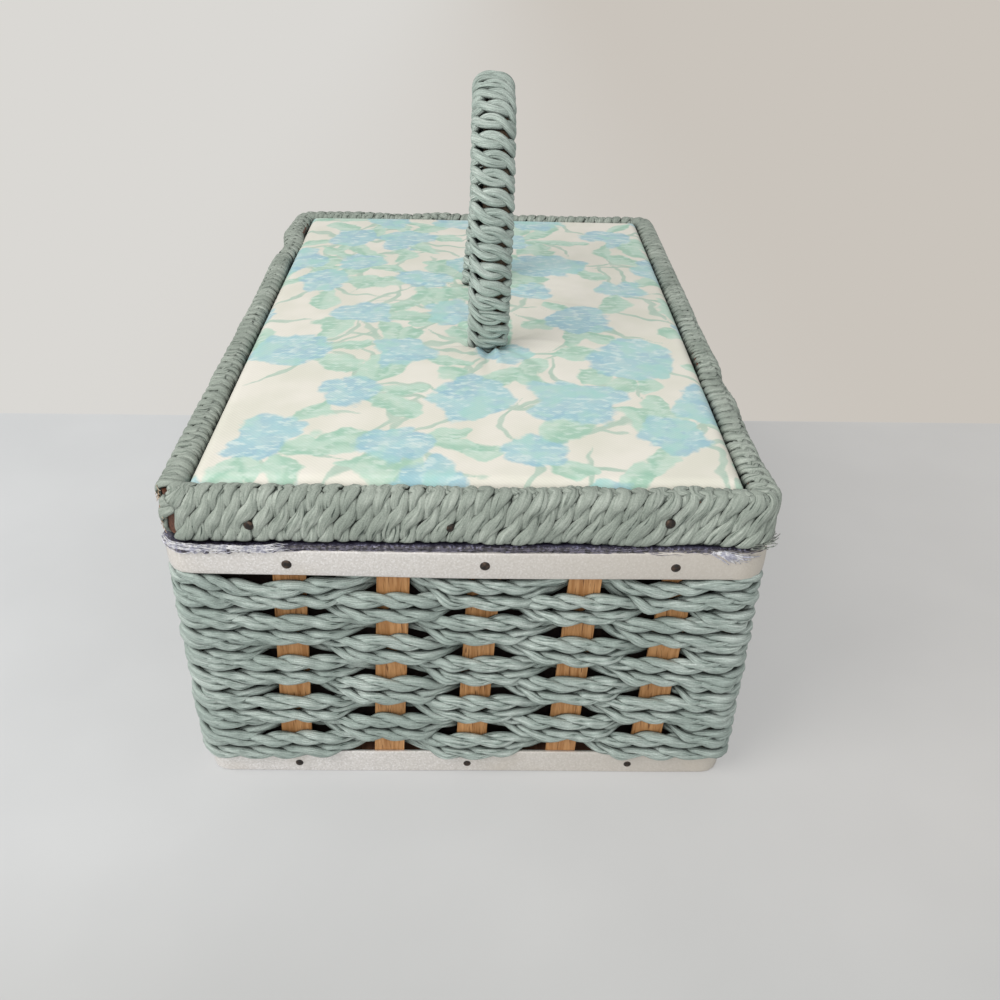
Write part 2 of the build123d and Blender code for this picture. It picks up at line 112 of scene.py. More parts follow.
def wood(name, pale, deep, pore, grain_width, up_axis, roughness=0.62):
    """Straight-grained wood. The grain's streaks are long along one axis and fine across it."""
    made, tree, shader = finish_named(name, roughness)
    place = add(tree, "TexCoord", output="Object")
    stretch = [1 / grain_width] * 3
    stretch[up_axis] = 0.06 / grain_width
    long_way = add(tree, "VectorMath", {0: place, 1: stretch}, 0, operation="MULTIPLY")
    grain = add(tree, "TexNoise", {"Vector": long_way, "Scale": 1.0, "Detail": 4.0, "Roughness": 0.65}, "Fac")
    pores = add(tree, "TexNoise", {"Vector": long_way, "Scale": 2.7, "Detail": 1.0}, "Fac")
    tone = add(tree, "TexNoise", {"Vector": place, "Scale": 45.0}, "Fac")
    amount = add(tree, "MapRange", {"Value": grain, "From Min": 0.3, "From Max": 0.7}, "Result", **eased)
    colour = add(tree, "Mix", {0: amount, 6: deep, 7: pale}, 2, **mixed)
    amount = add(tree, "MapRange", {"Value": pores, "From Min": 0.62, "From Max": 0.74}, "Result", **eased)
    colour = add(tree, "Mix", {0: amount, 6: colour, 7: pore}, 2, **mixed)
    shaded = {"From Min": 0.3, "From Max": 0.7, "To Min": 0.88, "To Max": 1.06}
    shade = add(tree, "MapRange", {"Value": tone, **shaded}, "Result")
    toned = add(tree, "VectorMath", {0: colour, "Scale": shade}, 0, operation="SCALE")
    bump = add(tree, "Bump", {"Height": grain, "Distance": 0.00025, "Strength": 0.5}, "Normal")
    tree.links.new(toned, shader.inputs["Base Color"])
    tree.links.new(bump, shader.inputs["Normal"])
    return made


ash = wood("ash_splint", "CF9D6B", "A97545", "7C5230", grain_width=0.0011, up_axis=2)
for stakes in ("end_stakes", "side_stakes"):
    dress(stakes, ash)
dress("corner_posts", wood("ash_dowel", "B58A60", "8E6540", "5B3B22", grain_width=0.001, up_axis=2))
dress("bottom_board", wood("plywood_foot", "6E4C3A", "533628", "2E1C13", grain_width=0.0016, up_axis=1))


# The weave: nine rows, each of two closed cords of twisted paper, worked over one stake and behind the next. Each
# cord is two plies of soft, dull, sage-coloured paper, laid right-handed with a long twist. The pair lies flat on
# the stakes that it passes over and squeezes together behind the others. Places and sizes are in mm.

mm = 0.001
corner_x, corner_y = 90.0, 140.0      # middles of the basket's four corner bends
stake_bend = 5.2                      # radius there of the line through the middle of the stakes
walls = np.array([2 * corner_x, pi / 2 * stake_bend, 2 * corner_y, pi / 2 * stake_bend] * 2)
wall_starts = np.concatenate([[0], np.cumsum(walls)])
way_round = wall_starts[-1]


def around(distance, out):
    """Places round the basket. The distance is along the line through the stakes, from the left end of the near
    wall, and out is how far outside that line the place lies. Also gives the directions outwards there."""
    distance = np.mod(distance, way_round)
    part = np.minimum(np.searchsorted(wall_starts, distance, side="right") - 1, 7)
    rest = distance - wall_starts[part]
    wall, bend = part // 2, part % 2
    turn = wall * pi / 2 + bend * rest / stake_bend
    outward = np.stack([np.sin(turn), -np.cos(turn)], 1)
    travel = np.stack([np.cos(turn), np.sin(turn)], 1)
    middle = np.array([[1, -1], [1, 1], [-1, 1], [-1, -1]])[wall] * (corner_x, corner_y)
    back = (1 - bend) * (walls[part] - rest)
    return middle + outward * (stake_bend + out)[:, None] - travel * back[:, None], outward


def wander(share, fewest, most, seed):
    """A smooth random wave from about -1 to 1 that closes on itself, for shares from 0 to 1 round a loop."""
    draw = np.random.default_rng(seed)
    counts, starts = draw.integers(fewest, most + 1, 6), draw.uniform(0, 2 * pi, 6)
    return np.sin(2 * pi * counts[:, None] * share + starts[:, None]).sum(0) / 2.4


def lay_grid(target, points, uv_size):
    """Adds a grid of faces through an array of points in mm, rows by columns. Its UV map is in metres."""
    rows, columns = points.shape[:2]
    patch = bmesh.new()
    patch.loops.layers.uv.new("UVMap")
    bmesh.ops.create_grid(patch, x_segments=rows - 1, y_segments=columns - 1, size=0.5, calc_uvs=True)
    mesh = bpy.data.meshes.new("patch")
    patch.to_mesh(mesh)
    patch.free()
    flat = np.empty(rows * columns * 3)
    mesh.vertices.foreach_get("co", flat)
    row, column = np.rint((flat.reshape(-1, 3)[:, :2] + 0.5) * (rows - 1, columns - 1)).astype(int).T
    mesh.vertices.foreach_set("co", (points[row, column] * mm).ravel())
    uv = np.empty(len(mesh.loops) * 2)
    mesh.uv_layers[0].data.foreach_get("uv", uv)
    mesh.uv_layers[0].data.foreach_set("uv", (uv.reshape(-1, 2) * uv_size * mm).ravel())
    target.from_mesh(mesh)
    bpy.data.meshes.remove(mesh)


def finished(name, bm, material, closed=True):
    """Turns a bmesh into a piece: seams closed, faces outwards, smooth."""
    bmesh.ops.remove_doubles(bm, verts=bm.verts, dist=1e-7)
    if closed:
        open_edges = [e for e in bm.edges if e.is_boundary]
        if open_edges:
            bmesh.ops.holes_fill(bm, edges=open_edges, sides=0)
        bmesh.ops.recalc_face_normals(bm, faces=bm.faces)
    mesh = bpy.data.meshes.new(name)
    bm.to_mesh(mesh)
    bm.free()
    mesh.shade_smooth()
    mesh.materials.append(material)
    piece = bpy.data.objects.new(name, mesh)
    bpy.context.scene.collection.objects.link(piece)
    return piece


def directions(line, closed):
    """Unit directions along a line of points."""
    if closed:
        step = np.roll(line[:-1], -1, 0) - np.roll(line[:-1], 1, 0)
        step = np.concatenate([step, step[:1]])
    else:
        step = np.gradient(line, axis=0)
    return step / np.linalg.norm(step, axis=1)[:, None]


ply_sides = 10
twist_lay = 24.0      # length of cord in which a ply goes once round


def even_twist(line, lay, seed):
    """How far the plies have turned at each point of a closed cord, a little unevenly."""
    run = np.concatenate([[0], np.cumsum(np.linalg.norm(np.diff(line, axis=0), axis=1))])
    share = run / run[-1]
    start = np.random.default_rng(seed).uniform(0, 2 * pi)
    return start + 2 * pi * round(run[-1] / lay) * share + 0.35 * wander(share, 3, 40, seed)


def twist_cord(bm, line, outward, phase, spread, front, side, seed, closed=True):
    """Adds a cord of two plies that turn round each other about a line, right-handed. Spread is how far each ply's
    middle goes from the line, along the surface and away from it. Front and side are a ply's half width and half
    depth where it lies in front of the other and where they lie side by side."""
    run = np.concatenate([[0], np.cumsum(np.linalg.norm(np.diff(line, axis=0), axis=1))])
    length, share = run[-1], run / run[-1]
    sideways = np.cross(directions(line, closed), outward)
    around_ply = np.linspace(0, 2 * pi, ply_sides + 1)
    for number in range(2):
        turn = (phase + pi * number)[:, None]
        flat, high = spread
        middle = line + outward * high * np.cos(turn) + sideways * flat * np.sin(turn)
        facing = np.cos(turn) ** 2
        width = side[0] + (front[0] - side[0]) * facing
        depth = side[1] + (front[1] - side[1]) * facing
        size = 1 + 0.05 * wander(share, 8, 60, seed + 7 + number)[:, None]
        crease = 1 + 0.03 * np.sin(3 * around_ply + 2 * pi * round(length / 31) * share[:, None] + number)
        crease += 0.015 * np.sin(5 * around_ply - 2 * pi * round(length / 19) * share[:, None])
        across = (size * crease * width * np.cos(around_ply))[:, :, None] * sideways[:, None]
        upward = (size * crease * depth * np.sin(around_ply))[:, :, None] * outward[:, None]
        lay_grid(bm, middle[:, None] + across + upward, (length, 2.6 * sum(front)))


def twisted_paper(name, dark, mid, light, worn=0.0):
    """Paper twine: kraft paper, dyed, twisted and waxed dull. Long creases run along each ply, a little askew, with
    painted shade in their dark lines and in its crevices. Worn twine has its creases rubbed down."""
    made, tree, shader = finish_named(name, 0.7, Specular_IOR_Level=0.24)
    ply_map = add(tree, "UVMap", output="UV", uv_map="UVMap")
    place = add(tree, "TexCoord", output="Object")
    crease_size = {"Vector": ply_map, "Scale": (0.010, 0.0009, 1.0), "Rotation": (0, 0, radians(5))}
    crease_way = add(tree, "Mapping", crease_size, 0, vector_type="TEXTURE")
    crease = add(tree, "TexNoise", {"Vector": crease_way, "Scale": 1.0, "Detail": 3.0, "Roughness": 0.6}, "Fac")
    # the paper's fibres are finer, too fine to show, so they are drawn this coarse
    fibre_size = {"Vector": ply_map, "Scale": (0.005, 0.00038, 1.0), "Rotation": (0, 0, radians(4))}
    fibre_way = add(tree, "Mapping", fibre_size, 0, vector_type="TEXTURE")
    fibre = add(tree, "TexNoise", {"Vector": fibre_way, "Scale": 1.0, "Detail": 2.0}, "Fac")
    patches = add(tree, "TexNoise", {"Vector": place, "Scale": 55.0, "Detail": 2.0}, "Fac")
    amount = add(tree, "MapRange", {"Value": crease, "From Min": 0.38, "From Max": 0.66}, "Result", **eased)
    colour = add(tree, "Mix", {0: amount, 6: mid, 7: light}, 2, **mixed)
    amount = add(tree, "MapRange", {"Value": patches, "From Min": 0.35, "From Max": 0.72}, "Result", **eased)
    colour = add(tree, "Mix", {0: amount, 6: colour, 7: mid}, 2, **mixed)
    # painted shade: thin dark lines in the creases
    painted_crease_shade = add(tree, "MapRange", {"Value": crease, "From Min": 0.41, "From Max": 0.31}, "Result", **eased)
    colour = add(tree, "Mix", {0: painted_crease_shade, 6: colour, 7: dark}, 2, **mixed)
    spread_out = {"From Min": 0.36, "From Max": 0.6, "To Min": 0.72 + 0.14 * worn, "To Max": 1.06 - 0.03 * worn}
    threads = add(tree, "MapRange", {"Value": fibre, **spread_out}, "Result")
    colour = add(tree, "VectorMath", {0: colour, "Scale": threads}, 0, operation="SCALE")
    grain = add(tree, "TexNoise", {"Vector": place, "Scale": 1 / 0.00045, "Detail": 2.0}, "Fac")
    grainy = {"From Min": 0.3, "From Max": 0.7, "To Min": 0.84, "To Max": 1.1}
    speckle = add(tree, "MapRange", {"Value": grain, **grainy}, "Result")
    colour = add(tree, "VectorMath", {0: colour, "Scale": speckle}, 0, operation="SCALE")
    # painted shade: darker where ambient occlusion finds the crevices between plies, cords and bands
    painted_shade_ao = add(tree, "AmbientOcclusion", {"Distance": 0.004}, "AO", samples=5)
    amount = add(tree, "MapRange", {"Value": painted_shade_ao, "From Min": 0.15, "From Max": 0.84}, "Result", **eased)
    colour = add(tree, "Mix", {0: amount, 6: "2A302D", 7: colour}, 2, **mixed)
    height = add(tree, "Math", {0: crease, 1: 1.0, 2: fibre}, 0, operation="MULTIPLY_ADD")
    bump = add(tree, "Bump", {"Height": height, "Distance": 0.0005, "Strength": 0.85 - 0.4 * worn}, "Normal")
    tree.links.new(colour, shader.inputs["Base Color"])
    tree.links.new(bump, shader.inputs["Normal"])
    return made


half_height = 52.75
end_stake_places = np.array([-61.5, -27.0, 3.5, 37.5, 69.0])   # at half height, because they lean
stake_lean = tan(radians(3.0))
side_stake_places = (np.arange(8) - 3.5) * 33.0
weave_top, weave_foot, row_count = 94.3, 10.5, 9
row_pitch = (weave_top - weave_foot) / row_count
over_stakes, behind_stakes = 3.05, -4.1   # out from the middle of the stakes
over_hold, behind_hold = 8.2, 1.6         # half the length that a cord stays out for, and that it stays behind for
pair_closed, pair_opened = 1.95, 1.25     # half the pair's pitch behind a stake, and what is added over one
near_left_sag, near_right_sag = 19, 158   # where the first row hangs lowest
cord_step = 1.4


def wall_stakes(height):
    """Stake places along each wall, in the direction that a row travels, at a given height."""
    leaning = end_stake_places + (height - half_height) * stake_lean
    return [leaning, side_stake_places, np.sort(-leaning), side_stake_places]


def row_keys(row, height):
    """Distances round the basket at which a row lies over a stake or a corner, 1, or behind a stake, 0."""
    keys, count = [], row
    for wall, stakes in enumerate(wall_stakes(height)):
        start, run = wall_starts[2 * wall], walls[2 * wall]
        keys.append((start, 1))
        for place in stakes:
            keys.append((start + run / 2 + place, count % 2))
            count += 1
        keys.append((start + run, 1))
    return keys + [(way_round, 1)]


def row_cord(bm, row, upper):
    """One cord of a row: 1 for its upper cord, -1 for its lower one."""
    share = np.linspace(0, 1, round(way_round / cord_step) + 1)
    distance = share * way_round
    middle = weave_top - (row - 0.5) * row_pitch
    places, states = np.array(row_keys(row, middle)).T
    part = np.clip(np.searchsorted(places, distance, side="right") - 1, 0, len(places) - 2)
    hold = np.where(states == 1, over_hold, behind_hold)
    run = places[part + 1] - places[part] - hold[part] - hold[part + 1]
    past = (distance - places[part] - hold[part]) / np.maximum(run, 0.1)
    ease = 0.5 - 0.5 * np.cos(pi * np.clip(past, 0, 1))
    over = states[part] + (states[part + 1] - states[part]) * ease
    seed = 10 * row + upper
    out = behind_stakes + (over_stakes - behind_stakes) * over + 0.9 * upper * (1 - over)
    out += 0.25 * wander(share, 10, 60, seed)
    height = middle + upper * (pair_closed + pair_opened * over ** 2) + 0.3 * wander(share, 5, 30, 10 * row)
    if row == 1:      # it has sagged away from the rim band between the corners
        from_sag = np.abs(distance - near_left_sag)
        from_sag = np.minimum(from_sag, way_round - from_sag)
        height -= (1.7 + 0.9 * upper) * np.exp(-(from_sag / 14) ** 2)
        from_corner = np.abs(distance[:, None] - wall_starts).min(1)
        sag = 3.1 + 1.3 * np.exp(-((distance - near_right_sag) / 26) ** 2)
        height -= sag * over * (1 - np.exp(-(from_corner / 14) ** 2))
    plan, outward = around(distance, out)
    line = np.column_stack([plan, height])
    away = np.column_stack([outward, 0 * share])
    phase = even_twist(line, twist_lay, seed + 500)
    twist_cord(bm, line, away, phase, spread=(1.35, 1.0), front=(2.35, 1.45), side=(1.5, 2.0), seed=seed)


sage_paper = twisted_paper("paper_twine_sage", "4E5A56", "A2B1AC", "CCD8D4")
for row in range(1, row_count + 1):
    bm = bmesh.new()
    for upper in (1, -1):
        row_cord(bm, row, upper)
    piece = finished(f"weave_cords_{row}", bm, sage_paper)
    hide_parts(f"weaver_row_{row}")
    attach(piece, "basket")


# Bands: a hoop of ash inside the stakes, and outside them a strip round the rim and a thinner one round the foot.
# Each strip is covered with embossed pearl vinyl, silver-white, with a soft shine and a fine mottled grain, and
# has its edges turned over.

def pearl_vinyl():
    """Embossed vinyl: a mottled grain with pale flakes, and painted shade that darkens and browns it towards +X."""
    made, tree, shader = finish_named("vinyl_pearl", 0.36, Metallic=0.12, Coat_Weight=0.25, Coat_Roughness=0.3)
    place = add(tree, "TexCoord", output="Object")
    flakes = add(tree, "TexVoronoi", {"Vector": place, "Scale": 1 / 0.0008}, "Distance", feature="SMOOTH_F1")
    mottle = add(tree, "TexNoise", {"Vector": place, "Scale": 1 / 0.001, "Detail": 3.0}, "Fac")
    stain = add(tree, "TexNoise", {"Vector": place, "Scale": 28.0, "Detail": 2.0}, "Fac")
    amount = add(tree, "MapRange", {"Value": mottle, "From Min": 0.3, "From Max": 0.7}, "Result", **eased)
    colour = add(tree, "Mix", {0: amount, 6: "CFCCCA", 7: "DFDCDB"}, 2, **mixed)
    amount = add(tree, "MapRange", {"Value": flakes, "From Min": 0.42, "From Max": 0.12}, "Result", **eased)
    colour = add(tree, "Mix", {0: amount, 6: colour, 7: "EAE8E9"}, 2, **mixed)
    # painted shade: the strips darken and brown towards +X
    side = add(tree, "SeparateXYZ", {0: place}, "X")
    amount = add(tree, "MapRange", {"Value": side, "From Min": -0.06, "From Max": 0.1}, "Result", **eased)
    dulled = add(tree, "Math", {0: amount, 1: 0.75}, 0, operation="MULTIPLY")
    colour = add(tree, "Mix", {0: dulled, 6: colour, 7: "C2BBB1"}, 2, **mixed)
    amount = add(tree, "MapRange", {"Value": stain, "From Min": 0.5, "From Max": 0.85}, "Result", **eased)
    colour = add(tree, "Mix", {0: amount, 6: colour, 7: "C9C0B2"}, 2, **mixed)
    height = add(tree, "Math", {0: mottle, 1: flakes}, 0, operation="SUBTRACT")
    bump = add(tree, "Bump", {"Height": height, "Distance": 0.0001, "Strength": 0.5}, "Normal")
    tree.links.new(colour, shader.inputs["Base Color"])
    tree.links.new(bump, shader.inputs["Normal"])
    return made


def band_profile(inner, outer, foot, top, turn, bulge):
    """Section of a strip, as reaches out from the stakes and heights: rounded edges and a slightly full face."""
    corner = np.linspace(0, pi / 2, 5)
    face = np.linspace(-1, 1, 7)[1:-1]
    middle, half = (foot + top) / 2, (top - foot) / 2
    outline = [(inner, foot)]
    outline += [(outer - turn + turn * sin(a), foot + turn - turn * cos(a)) for a in corner]
    outline += [(outer + bulge * (1 - s * s), middle + s * (half - turn)) for s in face]
    outline += [(outer - turn + turn * cos(a), top - turn + turn * sin(a)) for a in corner]
    return np.array(outline + [(inner, top), (inner, foot)])


def band_strip(name, profile, wave, seed, drawn_up=0):
    """A strip round the stakes. Its lower edge can be drawn up towards the near left corner, and its upper edge
    towards the near right one."""
    share = np.linspace(0, 1, 477)      # a point every 2 mm
    foot, top = profile[:, 1].min(), profile[:, 1].max()
    near_reach, left_reach, near_right_place = 85, 25, 185
    from_corner = np.minimum(share * way_round / near_reach, (1 - share) * way_round / left_reach)
    drawn = drawn_up * (1 - from_corner.clip(0, 1)) ** 1.3
    raised = 0.9 * drawn_up * np.exp(-((share * way_round - near_right_place) / 60) ** 2)
    lift = wave * wander(share, 2, 9, seed)
    push = 0.5 * wave * wander(share, 3, 14, seed + 1)
    rings = []
    for out, height in profile:
        plan, _ = around(share * way_round, out + push * (out > profile[0][0]))
        shift = (drawn * (top - height) + raised * (height - foot)) / (top - foot)
        rings.append(np.column_stack([plan, height + lift + shift]))
    bm = bmesh.new()
    lay_grid(bm, np.stack(rings, 1), (way_round, 40.0))
    piece = finished(name, bm, pearl)
    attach(piece, "basket")
    return piece


pearl = pearl_vinyl()
top_section = band_profile(inner=0.8, outer=4.7, foot=94.0, top=104.6, turn=0.9, bulge=0.2)
top_band = band_strip("rim_band_vinyl", top_section, wave=0.25, seed=31, drawn_up=1.0)
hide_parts("top_band")
foot_section = band_profile(inner=0.8, outer=2.0, foot=0.2, top=10.5, turn=0.5, bulge=0.12)
foot_band = band_strip("foot_band_vinyl", foot_section, wave=0.15, seed=33)
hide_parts("bottom_band")
dress("top_hoop", wood("ash_hoop", "B58A60", "8E6540", "5B3B22", grain_width=0.0012, up_axis=1))


# Nails in both bands: short steel tacks with low domed heads, blued dark and turning brown, driven through every
# other stake. Their heads sit a little into the vinyl.

def blued_steel():
    """Blued steel, nearly black, with brown rust in spots."""
    made, tree, shader = finish_named("steel_tack_blued", 0.48, Metallic=0.6)
    place = add(tree, "TexCoord", output="Object")
    rust = add(tree, "TexNoise", {"Vector": place, "Scale": 1 / 0.0014, "Detail": 4.0}, "Fac")
    amount = add(tree, "MapRange", {"Value": rust, "From Min": 0.42, "From Max": 0.68}, "Result", **eased)
    colour = add(tree, "Mix", {0: amount, 6: "2F2C2B", 7: "54443A"}, 2, **mixed)
    bump = add(tree, "Bump", {"Height": rust, "Distance": 0.0002, "Strength": 0.6}, "Normal")
    tree.links.new(colour, shader.inputs["Base Color"])
    tree.links.new(bump, shader.inputs["Normal"])
    return made


nail_profile = [(0, 0.32), (0.35, 0.29), (0.68, 0.19), (0.9, 0.05), (1, -0.12), (0.94, -0.22), (0.34, -0.24),
                (0.34, -1)]


def drive_nail(bm, distance, out, height, radius):
    """A domed head, spun from its profile in radii, with a short shank behind it."""
    plan, outward = around(np.array([float(distance)]), np.array([float(out)]))
    verts = [bm.verts.new((r * radius * mm, 0, z * radius * mm)) for r, z in nail_profile]
    edges = [bm.edges.new(pair) for pair in zip(verts, verts[1:])]
    whole_turn = {"cent": (0, 0, 0), "axis": (0, 0, 1), "angle": 2 * pi, "steps": 16, "use_merge": True}
    spun = bmesh.ops.spin(bm, geom=verts + edges, **whole_turn)
    ring = [g for g in spun["geom_last"] if isinstance(g, bmesh.types.BMVert)]
    parts = set(ring)
    grow = list(ring)
    while grow:
        for edge in grow.pop().link_edges:
            for vert in edge.verts:
                if vert not in parts:
                    parts.add(vert)
                    grow.append(vert)
    face_out = Vector((*outward[0], 0))
    turned = face_out.to_track_quat("Z", "Y").to_matrix().to_4x4()
    place = Matrix.Translation(Vector((*plan[0], height)) * mm) @ turned
    bmesh.ops.transform(bm, matrix=place, verts=list(parts))


def nail_places(near):
    """Distances of the nails round the basket: given at the near end, and at every other stake elsewhere."""
    places = [wall_starts[0] + corner_x + x for x in near]
    for wall in (1, 2, 3):
        places += [wall_starts[2 * wall] + walls[2 * wall] / 2 + x for x in wall_stakes(half_height)[wall][::2]]
    return places


tack_steel = blued_steel()
bm = bmesh.new()
for place in nail_places((-59.0, 5.6, 68.3)):
    drive_nail(bm, place, out=5.0, height=99.6, radius=1.75)
for place in nail_places((-63.3, 0.1, 61.2)):
    drive_nail(bm, place, out=2.2, height=4.6, radius=1.5)
band_nails = finished("band_nails", bm, tack_steel)
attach(band_nails, "basket")


# Satin lining of the box: lavender rayon satin, glued to the card in soft upright gathers, turned over the card's
# and the hoop's top edge and caught under the rim band, where it shows in the seam below the lid.

satin_weave = 0.0006      # its threads are finer, too fine to show, so they are drawn this coarse


def rayon_satin(name, seam_shaded_from=None):
    """Rayon satin: a soft sheen, painted shade in its folds and, if a height of its UV map is given, painted shade
    with pale specks from there on.
    """
    made, tree, shader = finish_named(name, 0.3, Sheen_Weight=0.25, Sheen_Roughness=0.3, Specular_IOR_Level=0.6)
    place = add(tree, "TexCoord", output="Object")
    tone = add(tree, "TexNoise", {"Vector": place, "Scale": 40.0, "Detail": 2.0}, "Fac")
    threads = add(tree, "TexWave", {"Vector": place, "Scale": 0.05 / satin_weave, "Distortion": 0.4}, "Fac")
    amount = add(tree, "MapRange", {"Value": tone, "From Min": 0.3, "From Max": 0.7}, "Result", **eased)
    colour = add(tree, "Mix", {0: amount, 6: "9295C0", 7: "A3A6CC"}, 2, **mixed)
    # painted shade: darker in the folds and gaps that ambient occlusion finds
    painted_shade_ao = add(tree, "AmbientOcclusion", {"Distance": 0.006}, "AO", samples=5)
    amount = add(tree, "MapRange", {"Value": painted_shade_ao, "From Min": 0.42, "From Max": 0.95}, "Result", **eased)
    colour = add(tree, "Mix", {0: amount, 6: "1E1A28", 7: colour}, 2, **mixed)
    # painted shade in the seam below the lid: dark, with pale specks, from the given height of the UV map on
    if seam_shaded_from:
        across = add(tree, "SeparateXYZ", {0: add(tree, "UVMap", output="UV", uv_map="UVMap")}, "Y")
        specks = add(tree, "TexNoise", {"Vector": place, "Scale": 1 / 0.0009, "Detail": 2.0}, "Fac")
        amount = add(tree, "MapRange", {"Value": specks, "From Min": 0.5, "From Max": 0.66}, "Result", **eased)
        seam_shade_colour = add(tree, "Mix", {0: amount, 6: "39343F", 7: "8C8AA6"}, 2, **mixed)
        edge = {"From Min": seam_shaded_from, "From Max": seam_shaded_from + 0.005}
        amount = add(tree, "MapRange", {"Value": across, **edge}, "Result", **eased)
        colour = add(tree, "Mix", {0: amount, 6: colour, 7: seam_shade_colour}, 2, **mixed)
    bump = add(tree, "Bump", {"Height": threads, "Distance": 0.00005, "Strength": 0.35}, "Normal")
    tree.links.new(colour, shader.inputs["Base Color"])
    tree.links.new(bump, shader.inputs["Normal"])
    return made


lavender = rayon_satin("rayon_satin_lavender")
wall_half = np.array([84.0, 134.0])        # just inside the lining's inner faces
share = np.linspace(0, 1, 2161)            # a point about every 0.44 mm; as fine as the limit on triangles allows
rim_plan, _ = around(share * way_round, 2.2 + 0 * share)
box_plan = np.clip(rim_plan, -wall_half, wall_half)
near_left = np.exp(-((share * way_round - way_round * (share > 0.5)) / 34) ** 2)   # the crumpled corner
crumple = wander(share, 110, 330, 41) * (0.45 + 0.6 * near_left)
gather = wander(share, 40, 150, 43)
rows = []
for height in np.linspace(8.5, 102.0, 14):                                          # up the wall
    inward = 0.32 * gather * np.sin(pi * (height - 6) / 100) + 0.08 * wander(share, 60, 200, int(height))
    rows.append((box_plan * (1 - (0.25 + inward)[:, None] / wall_half), height + 0 * share))
over_hoop = ((0.0, 105.6), (0.12, 106.3), (0.4, 106.5), (0.7, 106.55), (0.93, 106.5))
for reach, height in over_hoop:
    rows.append((box_plan + (rim_plan - box_plan) * reach, height + 0.18 * gather * (1 - near_left)))
over_edge, _ = around(share * way_round, 3.3 + 0.9 * near_left + 0.4 * crumple)
rows.append((over_edge, 105.9 + 0.3 * crumple))
turned, _ = around(share * way_round, 3.6 + 1.3 * near_left + 0.35 * crumple)
rows.append((turned, 105.2 + 0.2 * wander(share, 110, 330, 45)))
tucked, _ = around(share * way_round, 3.6 + 1.6 * near_left + 0.3 * crumple)
rows.append((tucked, 104.75 - 0.5 * near_left + 0.25 * wander(share, 110, 330, 47)))
sheet_points = np.stack([np.column_stack([plan, height]) for plan, height in rows], 1)
bm = bmesh.new()
lay_grid(bm, sheet_points, (way_round, 120.0))
# the lining, with painted shade where it shows in the seam below the lid
seam_shaded = rayon_satin("rayon_satin_seam_shaded_edge", seam_shaded_from=0.104)
satin_walls = finished("satin_walls", bm, seam_shaded, closed=False)
thick = satin_walls.modifiers.new("cloth thickness", "SOLIDIFY")
thick.thickness, thick.offset = 0.25 * mm, 0
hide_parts("lining_walls", "lining_edge")
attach(satin_walls, "basket")


# Floor pad: lavender satin over thin wadding and card, turned over the edges and laid in the bottom of the box. It
# swells softly between its edges and carries a few slack folds.

def pad_face(half_x, half_y, corner, foot, edge, crown, spacing, up=1):
    """The face of a pad, up or down: its points' places, how far inside the pad's outline they lie, and heights."""
    across = np.linspace(-1, 1, round(2 * half_x / spacing) + 1)
    along = np.linspace(-1, 1, round(2 * half_y / spacing) + 1)
    x, y = np.meshgrid(across * half_x, along * half_y, indexing="ij")
    past_x, past_y = np.abs(x) - (half_x - corner), np.abs(y) - (half_y - corner)
    in_corner = (past_x > 0) & (past_y > 0)
    pull = np.where(in_corner, np.maximum(past_x, past_y) / np.hypot(past_x, past_y).clip(1e-9), 1)
    x = np.where(in_corner, np.sign(x) * (half_x - corner + past_x * pull), x)
    y = np.where(in_corner, np.sign(y) * (half_y - corner + past_y * pull), y)
    straight = np.minimum(half_x - np.abs(x), half_y - np.abs(y))
    round_corner = corner - np.hypot(np.maximum(past_x * pull, 0), np.maximum(past_y * pull, 0))
    inside = np.where(in_corner, round_corner, straight).clip(0)
    shoulder = 1 - (inside / 5).clip(0, 1)
    drop = (edge - 1.0) * (1 - np.sqrt((1 - shoulder ** 2).clip(0)))
    swell = crown * (1 - (x / half_x) ** 2) ** 0.8 * (1 - (y / half_y) ** 2) ** 0.8
    return x, y, inside, foot + up * (edge + swell - drop)


def close_pad(name, x, y, z, foot, material, uv_size):
    """Makes the pad's piece from its face, with its edge carried down to the foot and closed there."""
    bm = bmesh.new()
    lay_grid(bm, np.stack([x, y, z], 2), uv_size)
    rim = [e for e in bm.edges if e.is_boundary]
    skirt = bmesh.ops.extrude_edge_only(bm, edges=rim)["geom"]
    for vert in (g for g in skirt if isinstance(g, bmesh.types.BMVert)):
        vert.co.z = foot * mm
    return finished(name, bm, material)


x, y, inside, z = pad_face(83.2, 133.2, corner=2.0, foot=8.2, edge=4.6, crown=1.6, spacing=2.4)
slack = 0.22 * np.sin(x / 9 + 2.2 * np.sin(y / 31)) * np.sin(y / 13 + 1.7 * np.sin(x / 37)) * (inside / 8).clip(0, 1)
floor_pad = close_pad("floor_pad_satin", x, y, z + slack, 8.2, lavender, (167, 267))
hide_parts("lining_floor")
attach(floor_pad, "basket")


# Lift-out tray and its two battens: the tray is injection-moulded polystyrene, pale aqua and slightly milky, with
# crisp dividers and a fine scuffed shine. The battens are pine, painted white.

